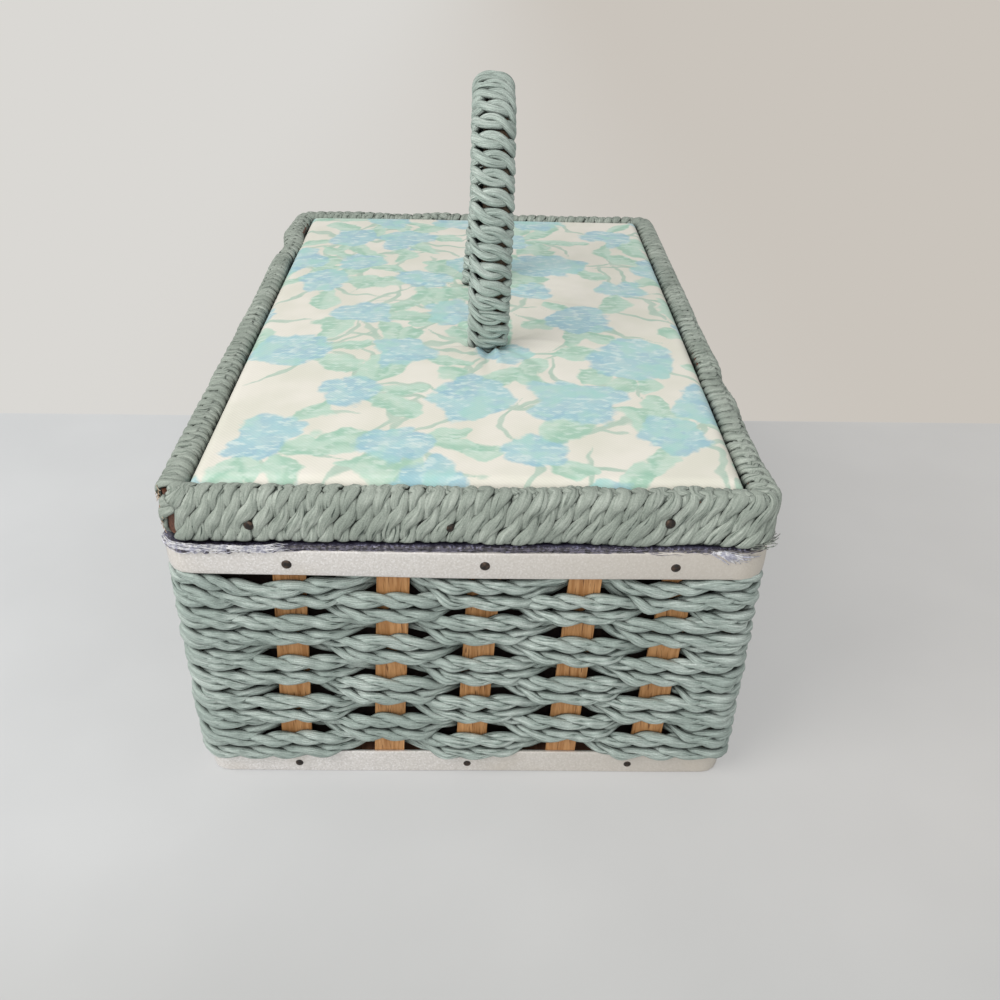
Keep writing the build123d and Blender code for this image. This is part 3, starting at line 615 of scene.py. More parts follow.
def moulded_polystyrene():
    """Moulded polystyrene: cloudy, and smooth with fine scuffs that dull its gloss."""
    made, tree, shader = finish_named("polystyrene_moulded", 0.28, IOR=1.59, Subsurface_Weight=0.15)
    shader.inputs["Subsurface Radius"].default_value = (0.004, 0.005, 0.006)
    place = add(tree, "TexCoord", output="Object")
    cloud = add(tree, "TexNoise", {"Vector": place, "Scale": 22.0, "Detail": 2.0}, "Fac")
    scuff = add(tree, "TexNoise", {"Vector": place, "Scale": 900.0, "Detail": 2.0}, "Fac")
    amount = add(tree, "MapRange", {"Value": cloud, "From Min": 0.3, "From Max": 0.7}, "Result", **eased)
    colour = add(tree, "Mix", {0: amount, 6: "C9DEDF", 7: "DAE9E8"}, 2, **mixed)
    bump = add(tree, "Bump", {"Height": scuff, "Distance": 0.00003, "Strength": 0.3}, "Normal")
    dulled = {"From Min": 0.3, "From Max": 0.7, "To Min": 0.24, "To Max": 0.36}
    rough = add(tree, "MapRange", {"Value": scuff, **dulled}, "Result")
    tree.links.new(colour, shader.inputs["Base Color"])
    tree.links.new(bump, shader.inputs["Normal"])
    tree.links.new(rough, shader.inputs["Roughness"])
    return made


dress("tray", moulded_polystyrene())
painted_pine = wood("pine_painted", "E4E0D8", "D2CCC0", "B9B2A4", grain_width=0.0014, up_axis=0, roughness=0.5)
dress("tray_ledges", painted_pine)


# Lid: a bent hoop of reddish beech, and inside it a panel of brown fibreboard that carries the pads and the handle.
# The hoop shows at one worn corner only.

dress("lid_frame", wood("beech_hoop", "6E4431", "462618", "26140D", grain_width=0.001, up_axis=1))
fibreboard = flat_stock("fibreboard_panel", "7A6248", "9A8062", fibre=0.0014, roughness=0.8, relief=0.0002)
dress("lid_panel", fibreboard)


# The rim's winding: the same paper twine, worn smoother, wound round the hoop with its turns touching. Each turn
# shows two or three leaf-shaped lengths of ply that lean to the right. It parts round the nails and, at the near
# left corner, has slipped open.

rim_nails = ((corner_x - 69.6, 114.5), (corner_x - 5.8, 114.5), (corner_x + 64.6, 116.6))
turn_count = 184
section_half = np.array([3.75, 8.3])        # from the winding's middle line to the section's, across and up
section_middle = np.array([-0.15, 116.5])   # its middle, out from the stakes' line and up
section_corner = 2.6
rim_runs = walls.copy()                     # as walls, but measured along the rim's face, where the turns lie even
rim_runs[1::2] = pi / 2 * (stake_bend + 3.6)
rim_starts = np.concatenate([[0], np.cumsum(rim_runs)])
rim_way = rim_starts[-1]
slip_place, slip_width = rim_way - 6.7, 4.0


def winding_course(share):
    """The winding's middle line, the directions away from the hoop and the plies' turn, for shares of its length."""
    turns = share * turn_count
    straight = 2 * (section_half - section_corner)
    quarter = pi / 2 * section_corner
    loop = 2 * straight.sum() + 4 * quarter
    part_runs = np.array([straight[1], quarter, straight[0], quarter] * 2)
    part_starts = np.concatenate([[0], np.cumsum(part_runs)])
    place = np.mod(turns, 1) * loop
    part = np.minimum(np.searchsorted(part_starts, place, side="right") - 1, 7)
    rest = place - part_starts[part]
    side, bend = part // 2, part % 2
    angle = -side * pi / 2 - bend * rest / section_corner          # down the outer face first
    away = np.stack([np.cos(angle), np.sin(angle)], 1)
    travel = np.stack([np.sin(angle), -np.cos(angle)], 1)
    corners = np.array([[1, -1], [-1, -1], [-1, 1], [1, 1]])[side] * (section_half - section_corner)
    section = corners + away * section_corner - travel * ((1 - bend) * (part_runs[part] - rest))[:, None]
    out, height = (section_middle + section).T
    loosened = np.exp(-((np.mod(share, 0.5) - 0.3) / 0.11) ** 6)      # about the near right and far left corners
    out = out + 1.1 * wander(share, 8, 30, 67) * loosened
    run = slip_place - turns * rim_way / turn_count + 0.22 * wander(share, 15, 70, 61)
    lean = 0.22 - 0.1 * np.cos(4 * pi * run / rim_way)       # more towards the near right
    run += lean * (height - section_middle[1]) * (out > section_middle[0])
    from_slip = np.mod(run - slip_place + rim_way / 2, rim_way) - rim_way / 2
    run = run + slip_width * np.tanh(from_slip / 0.8) * np.exp(-np.abs(from_slip) / 12)
    for nail, nail_height in rim_nails:      # the turns part round each nail
        gap = np.mod(run - nail + rim_way / 2, rim_way) - rim_way / 2
        near = np.exp(-(gap ** 2 + (height - nail_height) ** 2) / 9) * (out > 2.5)
        run = run + 1.6 * np.tanh(gap / 1.2) * near
    plan, outward = around(np.interp(np.mod(run, rim_way), rim_starts, wall_starts), out)
    near_right = np.exp(-((np.mod(run, rim_way) - corner_x - 62) / 45) ** 2)
    lower_half = 0.5 - 0.5 * np.tanh((height - 113) / 3)
    height = height - 0.7 * near_right * lower_half
    line = np.column_stack([plan, height])
    ply_turns = 2.01 * turns      # a little over two a turn, so that the leaf shapes shift from turn to turn
    phase = 2 * pi * ply_turns + 0.5 * wander(share, 9, 40, 63)
    return line, np.column_stack([outward * away[:, :1], away[:, 1]]), phase


rim_paper = twisted_paper("paper_twine_sage_worn", "4A544F", "959F97", "B9C2BA", worn=1.0)
quarters = np.array([0, 0.25, 0.5, 0.75, 1.0])         # in four pieces, because one would have too many triangles
whole = np.linspace(0, 1, 40 * turn_count + 1)         # 40 points a turn
for number, (first, last) in enumerate(zip(quarters, quarters[1:])):
    part = whole[(whole >= first - 1e-9) & (whole <= last + 1e-9)]
    line, away, phase = winding_course(part)
    bm = bmesh.new()
    twist_cord(bm, line, away, phase, spread=(1.5, 0.6), front=(2.85, 0.95), side=(1.75, 1.15), seed=70,
               closed=False)
    winding = finished(f"rim_winding_{number + 1}", bm, rim_paper)
    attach(winding, "lid")
    if number == 0:
        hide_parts("lid_wrap")

bm = bmesh.new()
for place, height in rim_nails:
    drive_nail(bm, place, out=4.6, height=height, radius=1.8)
for wall in (1, 2, 3):
    wall_middle = wall_starts[2 * wall] + walls[2 * wall] / 2
    for place in wall_stakes(half_height)[wall][1::3]:
        drive_nail(bm, wall_middle + place, out=5.0, height=114.5, radius=1.7)
lid_nails = finished("rim_nails", bm, tack_steel)
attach(lid_nails, "lid")


# Padded top: printed cotton drawn over wadding and stapled under the panel. The cloth is a fine cream twill with a
# soft, washed floral in pale blue and mint. The handle's feet pull it into short folds.

feet = np.array([[7.36, -32.5], [4.64, 32.5]])      # of the handle
x, y, inside, z = pad_face(90.4, 140.4, corner=2.2, foot=119.6, edge=6.0, crown=2.4, spacing=0.95)
draw = np.random.default_rng(5)
folds = np.zeros_like(x)
for foot_x, foot_y in feet:
    reach_x, reach_y = x - foot_x, y - foot_y
    away = np.hypot(reach_x, reach_y)
    folds -= 1.4 * np.exp(-((away - 6).clip(0) / 6.0))      # the dimple that the screw pulls
    for number in range(13):                                # folds that run out from it
        angle = 2 * pi * number / 13 + draw.uniform(-0.3, 0.3)
        forward = reach_x * cos(angle) + reach_y * sin(angle)
        across = -reach_x * sin(angle) + reach_y * cos(angle) + 0.012 * forward ** 2 * draw.uniform(-1, 1)
        width = 0.95 + 0.035 * forward.clip(0)
        fade = np.exp(-(forward - 8).clip(0) / draw.uniform(8, 20)) * (forward > 0) * (forward / 8).clip(0, 1)
        folds += draw.uniform(0.8, 1.7) * draw.choice([-1, 1]) * np.exp(-(across / width) ** 2) * fade
ripple = 0.1 * np.sin(x / 11 + 2 * np.sin(y / 40)) + 0.1 * np.sin(y / 14 + 2 * np.sin(x / 35))
z = z + (folds + ripple) * (inside / 8).clip(0, 1)


def petal_field(x, y, centre, size, draw):
    """A blossom's field, above 0 inside it, and its shading: a heap of round petals, each darker at one side."""
    best, shade = np.full_like(x, -9.0), np.zeros_like(x)
    for number in range(9):
        angle = 2 * pi * number / 8 + draw.uniform(-0.3, 0.3)
        off = size * (0.62 if number < 8 else 0) * draw.uniform(0.8, 1.1)
        px, py = centre[0] + off * cos(angle), centre[1] + off * sin(angle)
        radius, tone = size * draw.uniform(0.34, 0.56), draw.uniform(-0.5, 0.5)
        field = radius - np.hypot(x - px, y - py)
        side = ((x - px) * cos(angle + 0.8) + (y - py) * sin(angle + 0.8)) / radius
        shade = np.where(field > best, 0.6 * side + tone, shade)
        best = np.maximum(best, field)
    return best, shade


def leaf_field(x, y, root, angle, length, width, bend):
    """A leaf's field, above 0 inside it, and its shading: one half darker, with a pale midrib."""
    forward = (x - root[0]) * cos(angle) + (y - root[1]) * sin(angle)
    across = -(x - root[0]) * sin(angle) + (y - root[1]) * cos(angle)
    share = forward / length
    across = across - bend * length * share * (1 - share)
    half = width / 2 * np.sin(pi * share.clip(0, 1)) ** 0.8
    outside = np.maximum(np.maximum(-forward, forward - length), 0)
    return half - np.abs(across) - outside * 2, np.clip(across / 1.5, -1, 1)


def drift(x, y, seed):
    """How far the painter's hand strays, in mm: a sum of slanting waves."""
    draw = np.random.default_rng(seed)
    strayed = np.zeros_like(x)
    for length, reach in ((60, 2.0), (41, 1.6), (27, 1.1), (17, 0.7), (11, 0.5), (7, 0.35)):
        way, start = draw.uniform(0, 2 * pi, 2)
        strayed += reach * np.sin(2 * pi * (x * cos(way) + y * sin(way)) / length + start)
    return strayed


x_flat, y_flat = x, y
x, y = x + drift(x, y, 101), y + drift(x, y, 102)       # the motifs are painted at these strayed places
blue, green, stems = np.full_like(x, -9.0), np.full_like(x, -9.0), np.full_like(x, -9.0)
blue_shade, green_shade = np.zeros_like(x), np.zeros_like(x)
draw = np.random.default_rng(23)
for row_y in np.arange(-150, 160, 36):
    for column_x in np.arange(-96, 110, 46):
        middle = (column_x + draw.uniform(-9, 9) + 23 * (round(row_y / 36) % 2), row_y + draw.uniform(-7, 7))
        size = draw.uniform(9.5, 17.0)
        close = (np.abs(x - middle[0]) < 48) & (np.abs(y - middle[1]) < 48)
        if close.any():
            field, shade = petal_field(x[close], y[close], middle, size, draw)
            blue_shade[close] = np.where(field > blue[close], shade, blue_shade[close])
            blue[close] = np.maximum(blue[close], field)
        for _ in range(draw.integers(3, 6)):
            angle = draw.uniform(0, 2 * pi)
            root = (middle[0] + size * 0.7 * cos(angle), middle[1] + size * 0.7 * sin(angle))
            length, width, bend = draw.uniform(16, 30), draw.uniform(8, 14), draw.uniform(-0.4, 0.4)
            turned = angle + draw.uniform(-0.7, 0.7)
            if close.any():
                field, shade = leaf_field(x[close], y[close], root, turned, length, width, bend)
                green_shade[close] = np.where(field > green[close], shade, green_shade[close])
                green[close] = np.maximum(green[close], field)
                stem, _ = leaf_field(x[close], y[close], middle, turned + 0.9, 38, 2.6, 2.6 * bend)
                stems[close] = np.maximum(stems[close], stem)


def printed_cotton():
    """Printed cotton twill. The motifs' edges and washes come from the fields painted on its points."""
    made, tree, shader = finish_named("cotton_twill_printed", 0.72, Sheen_Weight=0.12, Specular_IOR_Level=0.3)
    place = add(tree, "TexCoord", output="Object")
    fields = {name: add(tree, "Attribute", output="Fac", attribute_name=name)
              for name in ("blue", "green", "stems", "blue_shade", "green_shade")}
    ragged = add(tree, "TexNoise", {"Vector": place, "Scale": 1 / 0.0035, "Detail": 3.0}, "Fac")
    brushed = add(tree, "VectorMath", {0: place, 1: (0.6, 1.3, 1)}, 0, operation="MULTIPLY")
    strokes = add(tree, "TexNoise", {"Vector": brushed, "Scale": 1 / 0.0026, "Detail": 4.0}, "Fac")
    wash = add(tree, "TexNoise", {"Vector": place, "Scale": 1 / 0.007, "Detail": 3.0}, "Fac")
    yellowing = add(tree, "TexNoise", {"Vector": place, "Scale": 1 / 0.02, "Detail": 2.0}, "Fac")
    tints = add(tree, "TexNoise", {"Vector": place, "Scale": 1 / 0.011, "Detail": 2.0}, "Fac")
    thinned = {"From Min": 0.3, "From Max": 0.62, "To Min": 1.0, "To Max": 0.82}
    thin = add(tree, "MapRange", {"Value": wash, **thinned}, "Result")

    def laid_on(name, edge, raggedness, under, paint):
        """The cloth's colour with one field's motifs painted on it, thinly and with soft, ragged edges."""
        swung = {0: ragged, 1: raggedness, 2: -raggedness / 2}
        wobble = add(tree, "Math", swung, 0, operation="MULTIPLY_ADD")
        moved = add(tree, "Math", {0: fields[name], 1: wobble}, 0, operation="ADD")
        painted = add(tree, "MapRange", {"Value": moved, "From Min": -edge, "From Max": edge}, "Result", **eased)
        covers = add(tree, "Math", {0: painted, 1: thin}, 0, operation="MULTIPLY")
        return add(tree, "Mix", {0: covers, 6: under, 7: paint}, 2, **mixed)

    amount = add(tree, "MapRange", {"Value": yellowing, "From Min": 0.3, "From Max": 0.7}, "Result", **eased)
    cloth = add(tree, "Mix", {0: amount, 6: "E1E0D5", 7: "EBE8E0"}, 2, **mixed)
    stem = add(tree, "Mix", {0: wash, 6: "A9C4B5", 7: "C0D5C9"}, 2, **mixed)
    cloth = laid_on("stems", edge=0.5, raggedness=1.6, under=cloth, paint=stem)
    amount = add(tree, "MapRange", {"Value": fields["green_shade"], "From Min": -1, "From Max": 1}, "Result", **eased)
    leaf = add(tree, "Mix", {0: amount, 6: "A0CBB8", 7: "BBDACB"}, 2, **mixed)
    amount = add(tree, "MapRange", {"Value": strokes, "From Min": 0.46, "From Max": 0.68}, "Result", **eased)
    leaf = add(tree, "Mix", {0: amount, 6: leaf, 7: "C9E1D6"}, 2, **mixed)
    cloth = laid_on("green", edge=0.9, raggedness=3.4, under=cloth, paint=leaf)
    shade = fields["blue_shade"]
    amount = add(tree, "MapRange", {"Value": shade, "From Min": -0.8, "From Max": 0.8}, "Result", **eased)
    bloom = add(tree, "Mix", {0: amount, 6: "B1D7DC", 7: "9AC4D6"}, 2, **mixed)
    amount = add(tree, "MapRange", {"Value": strokes, "From Min": 0.47, "From Max": 0.66}, "Result", **eased)
    bloom = add(tree, "Mix", {0: amount, 6: bloom, 7: "CCE3E6"}, 2, **mixed)
    amount = add(tree, "MapRange", {"Value": tints, "From Min": 0.5, "From Max": 0.68}, "Result", **eased)
    bloom = add(tree, "Mix", {0: amount, 6: bloom, 7: "A9D6D4"}, 2, **mixed)
    cloth = laid_on("blue", edge=1.1, raggedness=4.2, under=cloth, paint=bloom)
    # a fine twill's ribs lie closer, too close to show, so they are drawn this far apart
    slant = {"Vector": place, "Scale": 400.0, "Distortion": 0.6, "Detail": 1.0, "Detail Scale": 3.0}
    twill = add(tree, "TexWave", slant, "Fac", bands_direction="DIAGONAL")
    lit = add(tree, "MapRange", {"Value": twill, "To Min": 0.97, "To Max": 1.01}, "Result")
    woven = add(tree, "VectorMath", {0: cloth, "Scale": lit}, 0, operation="SCALE")
    bump = add(tree, "Bump", {"Height": twill, "Distance": 0.00006, "Strength": 0.4}, "Normal")
    tree.links.new(woven, shader.inputs["Base Color"])
    tree.links.new(bump, shader.inputs["Normal"])
    return made


x, y = x_flat, y_flat
printed_top = close_pad("printed_top", x, y, z, 119.7, printed_cotton(), (182, 282))
spots = np.empty(len(printed_top.data.vertices) * 3)
printed_top.data.vertices.foreach_get("co", spots)
spots = spots.reshape(-1, 3)[:, :2] / mm
tree_of_points = KDTree(x.size)      # the piece's points come in another order than the fields'
for index, (px, py) in enumerate(zip(x.ravel(), y.ravel())):
    tree_of_points.insert((px, py, 0), index)
tree_of_points.balance()
nearest = np.array([tree_of_points.find((px, py, 0))[1] for px, py in spots])
painted_fields = {"blue": blue, "green": green, "stems": stems, "blue_shade": blue_shade, "green_shade": green_shade}
for name, values in painted_fields.items():
    layer = printed_top.data.attributes.new(name, "FLOAT", "POINT")
    layer.data.foreach_set("value", values.ravel()[nearest].astype(np.float32))
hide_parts("lid_pad")
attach(printed_top, "lid")


# Satin pad under the lid: thin wadding under the same lavender satin as the box's, pleated in at its edges and
# glued under the panel.

x, y, inside, z = pad_face(90.4, 140.4, corner=2.2, foot=112.4, edge=1.4, crown=0.9, spacing=2.4, up=-1)
slack = 0.3 * np.sin(x / 12 + 2.0 * np.sin(y / 27)) * np.sin(y / 15 + 1.5 * np.sin(x / 33)) * (inside / 8).clip(0, 1)
pleats = wander(np.arctan2(y, x).ravel() / (2 * pi) + 0.5, 24, 60, 93).reshape(x.shape)
slack += 0.28 * pleats * np.exp(-inside / 9) * (inside / 2).clip(0, 1)
lid_satin = close_pad("lid_pad_satin", x, y, z - slack, 112.5, lavender, (182, 282))
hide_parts("lid_lining")
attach(lid_satin, "lid")


# Frayed ends: loose threads of the satin in the seam at both near corners, of the hoop's scrim where the winding has
# slipped, and of the twine where its end is tucked in below the near right corner.

def hair(bm, line, radius):
    """Adds a thin thread along a line, with three sides."""
    along = directions(line, False)
    side = np.cross(along, (0.31, 0.2, 0.93))
    side /= np.linalg.norm(side, axis=1)[:, None]
    turn = np.linspace(0, 2 * pi, 4)[None, :, None]
    ring = side[:, None] * np.cos(turn) + np.cross(side, along)[:, None] * np.sin(turn)
    lay_grid(bm, line[:, None] + radius * ring, (8.0, 1.0))


def frayed(name, count, seed, radius, start, step, curl, material, body):
    """A tuft of threads. Start and step give ranges, in mm, of the distance round the basket, the reach outwards
    from the stakes' line and the height: of a thread's root, and of the way from there to its tip."""
    draw = np.random.default_rng(seed)
    bm = bmesh.new()
    for _ in range(count):
        root = draw.uniform(*np.array(start).T)
        way = draw.uniform(*np.array(step).T)
        share = np.linspace(0, 1, 9)[:, None]
        waves = draw.uniform(-1, 1, (3, 3)) * curl
        path = root + way * share + sum(w * np.sin(pi * (n + 1) * share) / (n + 1) for n, w in enumerate(waves))
        plan, _ = around(path[:, 0], path[:, 1])
        hair(bm, np.column_stack([plan, path[:, 2]]), radius * draw.uniform(0.7, 1.3))
    tuft = finished(name, bm, material)
    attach(tuft, body)


def loose_thread(name, dark, light):
    """Loose fibre, soft and uneven in colour."""
    made, tree, shader = finish_named(name, 0.45, Sheen_Weight=0.3)
    place = add(tree, "TexCoord", output="Object")
    tone = add(tree, "TexNoise", {"Vector": place, "Scale": 700.0, "Detail": 1.0}, "Fac")
    amount = add(tree, "MapRange", {"Value": tone, "From Min": 0.35, "From Max": 0.65}, "Result", **eased)
    tree.links.new(add(tree, "Mix", {0: amount, 6: dark, 7: light}, 2, **mixed), shader.inputs["Base Color"])
    return made


satin_thread = loose_thread("rayon_thread_lavender", "BFC0D2", "F6F6FA")
frayed("satin_frays_left", 210, seed=3, radius=0.13, start=[(-7, 25), (4.4, 5.6), (104.6, 107.0)],
       step=[(3, 9), (-0.3, 0.5), (-0.5, 0.5)], curl=0.5, material=satin_thread, body="basket")
frayed("satin_frays_right", 60, seed=4, radius=0.12, start=[(169, 174), (4.5, 5.2), (105.3, 106.4)],
       step=[(4, 10), (0.2, 0.6), (-4.2, -0.8)], curl=0.16, material=satin_thread, body="basket")
# painted shade: the seam's threads are coloured dark, with paler bits, for the shade they lie in
seam_shaded_thread = loose_thread("rayon_thread_seam_shaded", "2E2A33", "87839A")
frayed("satin_frays_seam", 260, seed=5, radius=0.1, start=[(20, 182), (4.0, 4.7), (104.9, 106.2)],
       step=[(3, 12), (-0.2, 0.2), (-0.2, 0.2)], curl=0.35, material=seam_shaded_thread, body="basket")
scrim_thread = loose_thread("cotton_scrim_thread", "9C7A5A", "DCC9AC")
scrim_place = (way_round - 8.3, way_round - 6.6)
frayed("hoop_scrim_frays", 42, seed=6, radius=0.11, start=[scrim_place, (3.5, 4.6), (108.5, 125)],
       step=[(1.2, 3.2), (0, 0.5), (-0.6, 0.6)], curl=0.25, material=scrim_thread, body="lid")
shreds = loose_thread("paper_shreds_sage", "5E655F", "B3BBB2")
frayed("twine_end_frays", 30, seed=8, radius=0.16, start=[(180, 184), (4.6, 5.6), (107.6, 110.2)],
       step=[(1, 4), (0.6, 3.0), (-1.6, 0.8)], curl=0.18, material=shreds, body="lid")


# Handle: an arch of bent cane, screwed up through the panel at each foot, and wound close with the same twine, which
# opens into a lens-shaped gap at each side of a turn. It stands a little askew, and its far foot a little off.

arch_top_radius, arch_top_angle = 39.0, radians(60)
arch_side_radius, arch_side_angle = 71.5, radians(62)
arch_top_run, arch_side_run = arch_top_radius * arch_top_angle, arch_side_radius * arch_side_angle
arch_rise = arch_top_radius * (1 - cos(arch_top_angle)) + arch_side_radius * (
    cos(arch_top_angle) - cos(arch_top_angle + arch_side_angle))
handle_turn, handle_lean, handle_place, lid_top = radians(0.4), radians(0.8), 6.3, 126.0


def arch_course(run):
    """Points and outward directions along the arch in its own plane, for runs from its top."""
    past = np.abs(run) - arch_top_run
    turn = np.where(past < 0, np.abs(run) / arch_top_radius, arch_top_angle + past / arch_side_radius)
    shift = np.where(past < 0, 0, arch_top_radius - arch_side_radius)
    radius = np.where(past < 0, arch_top_radius, arch_side_radius)
    side = np.sign(run)
    y = side * (shift * sin(arch_top_angle) + radius * np.sin(turn))
    z = lid_top + arch_rise - arch_top_radius + shift * cos(arch_top_angle) + radius * np.cos(turn)
    outward = np.stack([0 * turn, side * np.sin(turn), np.cos(turn)], 1)
    return np.stack([0 * turn, y, z], 1), outward


loops = 37
half_run = arch_top_run + arch_side_run - 0.6
share = np.linspace(0, 1, 35 * loops + 1)      # 35 points a turn
bound_half = np.array([6.9, 4.7])              # from the core's middle to the twine's, across the arch and outwards
turn = 2 * pi * loops * share + 1.2
runs = half_run * (2 * share - 1) + 0.25 * wander(share, 8, 50, 95)
points, outward = arch_course(runs)
section_out = np.stack([np.cos(turn) / bound_half[0], np.sin(turn) / bound_half[1]], 1)
section_out /= np.linalg.norm(section_out, axis=1)[:, None]
crosswise = np.array([1.0, 0, 0])
line = points + np.cos(turn)[:, None] * bound_half[0] * crosswise + outward * (np.sin(turn) * bound_half[1])[:, None]
away = crosswise * section_out[:, :1] + outward * section_out[:, 1:]
askew = np.array(Matrix.Rotation(handle_turn, 3, "Z") @ Matrix.Rotation(handle_lean, 3, "Y")).T
line, away = (line - (0, 0, lid_top)) @ askew + (handle_place, 0, lid_top), away @ askew
far_foot_off = 3.2
line[:, 0] -= far_foot_off * np.exp(-((line[:, 2] - lid_top) / 24) ** 2) * (line[:, 1] > 0)
phase = 2 * turn + pi / 2 + 0.5 * wander(share, 3, 12, 96)
bm = bmesh.new()
twist_cord(bm, line, away, phase, spread=(1.75, 0.5), front=(2.2, 1.35), side=(1.85, 1.45), seed=97, closed=False)
handle_paper = twisted_paper("paper_twine_sage_handle", "5E6C67", "ABBAB4", "CBD6D1")
handle_winding = finished("handle_winding", bm, handle_paper)
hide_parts("handle_wrap")
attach(handle_winding, "lid")
dress("handle_core", wood("cane_bent", "5A4A38", "3A2E22", "231B14", grain_width=0.001, up_axis=1))


# Hinges, catch and knob: nickel-plated pressed steel and wire, bright but finely scratched, and dulled in spots.
# The knob is moulded urea plastic, pale and a little mottled, with a soft gloss.

def nickel_plate():
    """Nickel plate: bright, with fine scratches and duller, greyer spots."""
    made, tree, shader = finish_named("steel_nickel_plated", 0.3, Metallic=1.0)
    place = add(tree, "TexCoord", output="Object")
    spots = add(tree, "TexNoise", {"Vector": place, "Scale": 160.0, "Detail": 4.0}, "Fac")
    scratch_way = add(tree, "VectorMath", {0: place, 1: (300, 2600, 2600)}, 0, operation="MULTIPLY")
    scratches = add(tree, "TexNoise", {"Vector": scratch_way, "Scale": 1.0, "Detail": 2.0}, "Fac")
    amount = add(tree, "MapRange", {"Value": spots, "From Min": 0.45, "From Max": 0.75}, "Result", **eased)
    colour = add(tree, "Mix", {0: amount, 6: "C9C5BD", 7: "9C948A"}, 2, **mixed)
    dulled = {"From Min": 0.35, "From Max": 0.7, "To Min": 0.2, "To Max": 0.42}
    rough = add(tree, "MapRange", {"Value": spots, **dulled}, "Result")
    bump = add(tree, "Bump", {"Height": scratches, "Distance": 0.00002, "Strength": 0.4}, "Normal")
    tree.links.new(colour, shader.inputs["Base Color"])
    tree.links.new(rough, shader.inputs["Roughness"])
    tree.links.new(bump, shader.inputs["Normal"])
    return made


nickel = nickel_plate()
for node in ("hinge_body_leaves", "hinge_lid_leaves", "hinge_pins", "catch_plate", "catch_loop", "handle_screws"):
    dress(node, nickel)
urea = flat_stock("knob_moulded_urea", "B4B0A6", "C9C5BB", fibre=0.0009, roughness=0.35, relief=0.00003)
dress("closure_knob", urea)


# Table, light and the photograph's viewpoint. The table is plain and pale, and it shows a warmer tone beyond the line
# where the photograph's wall begins. Soft light comes from all sides, from a lamp above left and from one in front.

bm = bmesh.new()
bmesh.ops.create_grid(bm, x_segments=1, y_segments=1, size=6.0)
mesh = bpy.data.meshes.new("table")
bm.to_mesh(mesh)
bm.free()
table = bpy.data.objects.new("table", mesh)
bpy.context.scene.collection.objects.link(table)
laminate, tree, shader = finish_named("table_laminate", 0.55, Specular_IOR_Level=0.25)
place = add(tree, "TexCoord", output="Object")
parts = add(tree, "SeparateXYZ", {0: place})
wall_line = {0: parts.outputs["X"], 1: -0.0045, 2: parts.outputs["Y"]}
edge_line = add(tree, "Math", wall_line, 0, operation="MULTIPLY_ADD")
beyond = add(tree, "MapRange", {"Value": edge_line, "From Min": 0.1397, "From Max": 0.1414}, "Result", **eased)
marks = add(tree, "TexNoise", {"Vector": place, "Scale": 9.0, "Detail": 3.0}, "Fac")
# painted shade: the wall tone and the table tone darken towards +X, and the table tone darkens towards the front
across = add(tree, "MapRange", {"Value": parts.outputs["X"], "From Min": -0.3, "From Max": 0.3}, "Result", **eased)
wall_tone_and_shade = add(tree, "Mix", {0: across, 6: "DAD8D4", 7: "CAC4BC"}, 2, **mixed)
table_tone_and_shade = add(tree, "Mix", {0: across, 6: "D9DBDD", 7: "D0CFCE"}, 2, **mixed)
amount = add(tree, "MapRange", {"Value": parts.outputs["Y"], "From Min": -0.17, "From Max": -0.27}, "Result", **eased)
table_tone_and_shade = add(tree, "Mix", {0: amount, 6: table_tone_and_shade, 7: "C8C9C9"}, 2, **mixed)
seen_tone_and_shade = add(tree, "Mix", {0: beyond, 6: table_tone_and_shade, 7: wall_tone_and_shade}, 2, **mixed)
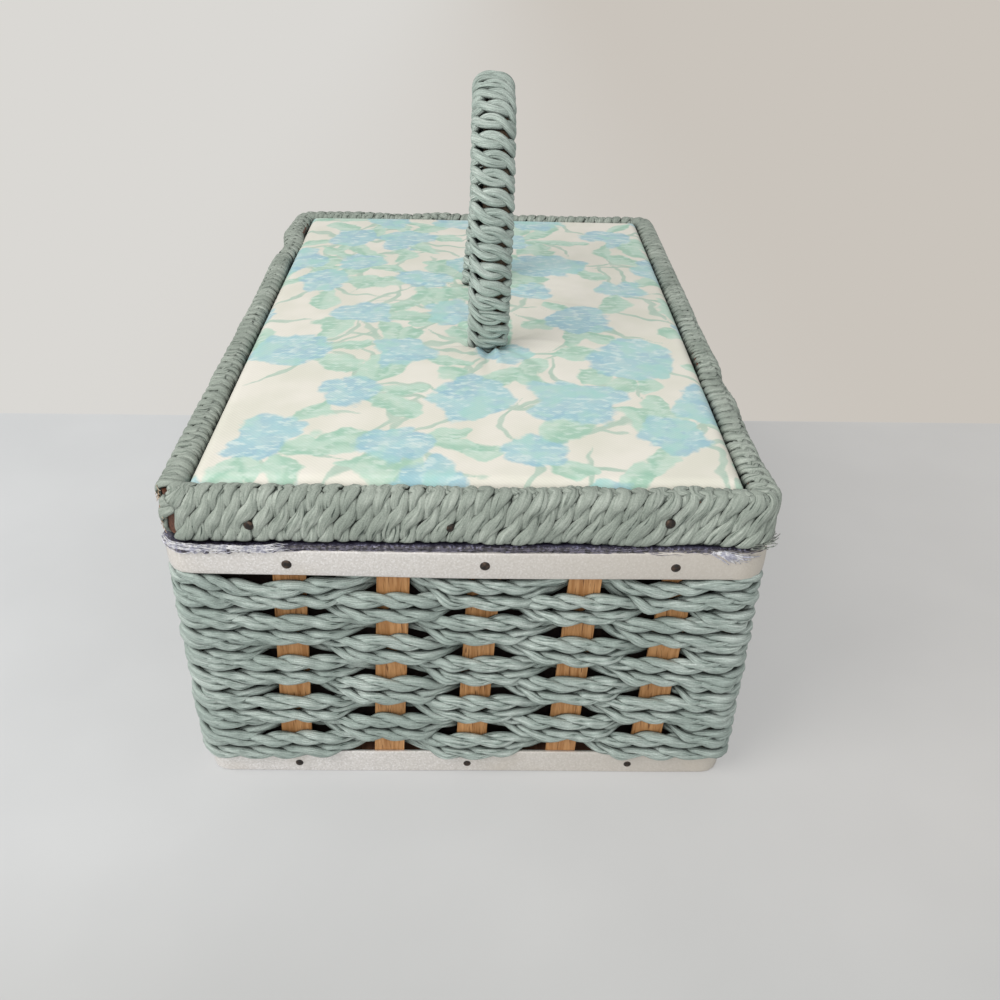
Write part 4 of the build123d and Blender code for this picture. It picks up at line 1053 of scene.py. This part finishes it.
# the camera sees the table's colour 45 % as glow and the wall tone wholly, painted shade and all
glow = add(tree, "Emission", {"Color": seen_tone_and_shade, "Strength": 1.0})
amount = add(tree, "MapRange", {"Value": marks, "From Min": 0.3, "From Max": 0.7}, "Result", **eased)
speckled = add(tree, "Mix", {0: amount, 6: "F4F4F4", 7: "FFFFFF"}, 2, **mixed)
tinted = add(tree, "Mix", {0: 1.0, 6: table_tone_and_shade, 7: speckled}, 2, data_type="RGBA", blend_type="MULTIPLY")
tree.links.new(tinted, shader.inputs["Base Color"])
rays = add(tree, "LightPath")
flat_share = add(tree, "MapRange", {"Value": beyond, "To Min": 0.45, "To Max": 1.0}, "Result")
how_flat = add(tree, "Math", {0: rays.outputs["Is Camera Ray"], 1: flat_share}, 0, operation="MULTIPLY")
both = add(tree, "MixShader", {0: how_flat, 1: shader.outputs[0], 2: glow.outputs[0]})
tree.links.new(both.outputs[0], tree.nodes["Material Output"].inputs["Surface"])
mesh.materials.append(laminate)


def area_lamp(name, place, aim, size, power, colour):
    """A round, soft lamp that points at a place."""
    lamp = bpy.data.lights.new(name, "AREA")
    lamp.shape, lamp.size, lamp.energy, lamp.color = "DISK", size, power, linear(colour)[:3]
    made = bpy.data.objects.new(name, lamp)
    made.location = place
    made.rotation_euler = (Vector(aim) - Vector(place)).to_track_quat("-Z", "Y").to_euler()
    bpy.context.scene.collection.objects.link(made)


basket_middle = (0, 0, 0.06)
area_lamp("window", (-0.65, -0.55, 0.85), basket_middle, size=0.75, power=6.6, colour="FFFCF6")
area_lamp("fill", (-0.1, -1.6, 0.9), basket_middle, size=1.2, power=6.2, colour="FFFEFA")
world = bpy.data.worlds.new("room")
bpy.context.scene.world = world
world.use_nodes = True
world.node_tree.nodes["Background"].inputs["Color"].default_value = linear("F0EFEC")
world.node_tree.nodes["Background"].inputs["Strength"].default_value = 0.66

lens_place = (0.0025, -0.4138, 0.2941)
lens_pitch, lens_yaw, lens_roll = radians(32.6), radians(-1.62), radians(1.48)
right = Vector((cos(lens_yaw), sin(lens_yaw), 0))
ahead = Vector((-sin(lens_yaw), cos(lens_yaw), 0))
up = ahead * sin(lens_pitch) + Vector((0, 0, cos(lens_pitch)))
forward = ahead * cos(lens_pitch) - Vector((0, 0, sin(lens_pitch)))
axes = (right * cos(lens_roll) + up * sin(lens_roll), up * cos(lens_roll) - right * sin(lens_roll), -forward)
lens = bpy.data.cameras.new("viewpoint")
lens.lens, lens.sensor_width, lens.clip_start = 36.0, 36.0, 0.01
viewpoint = bpy.data.objects.new("viewpoint", lens)
viewpoint.matrix_world = Matrix.Translation(lens_place) @ Matrix(axes).transposed().to_4x4()
bpy.context.scene.collection.objects.link(viewpoint)
bpy.context.scene.camera = viewpoint
bpy.context.scene.view_settings.view_transform = "Standard"
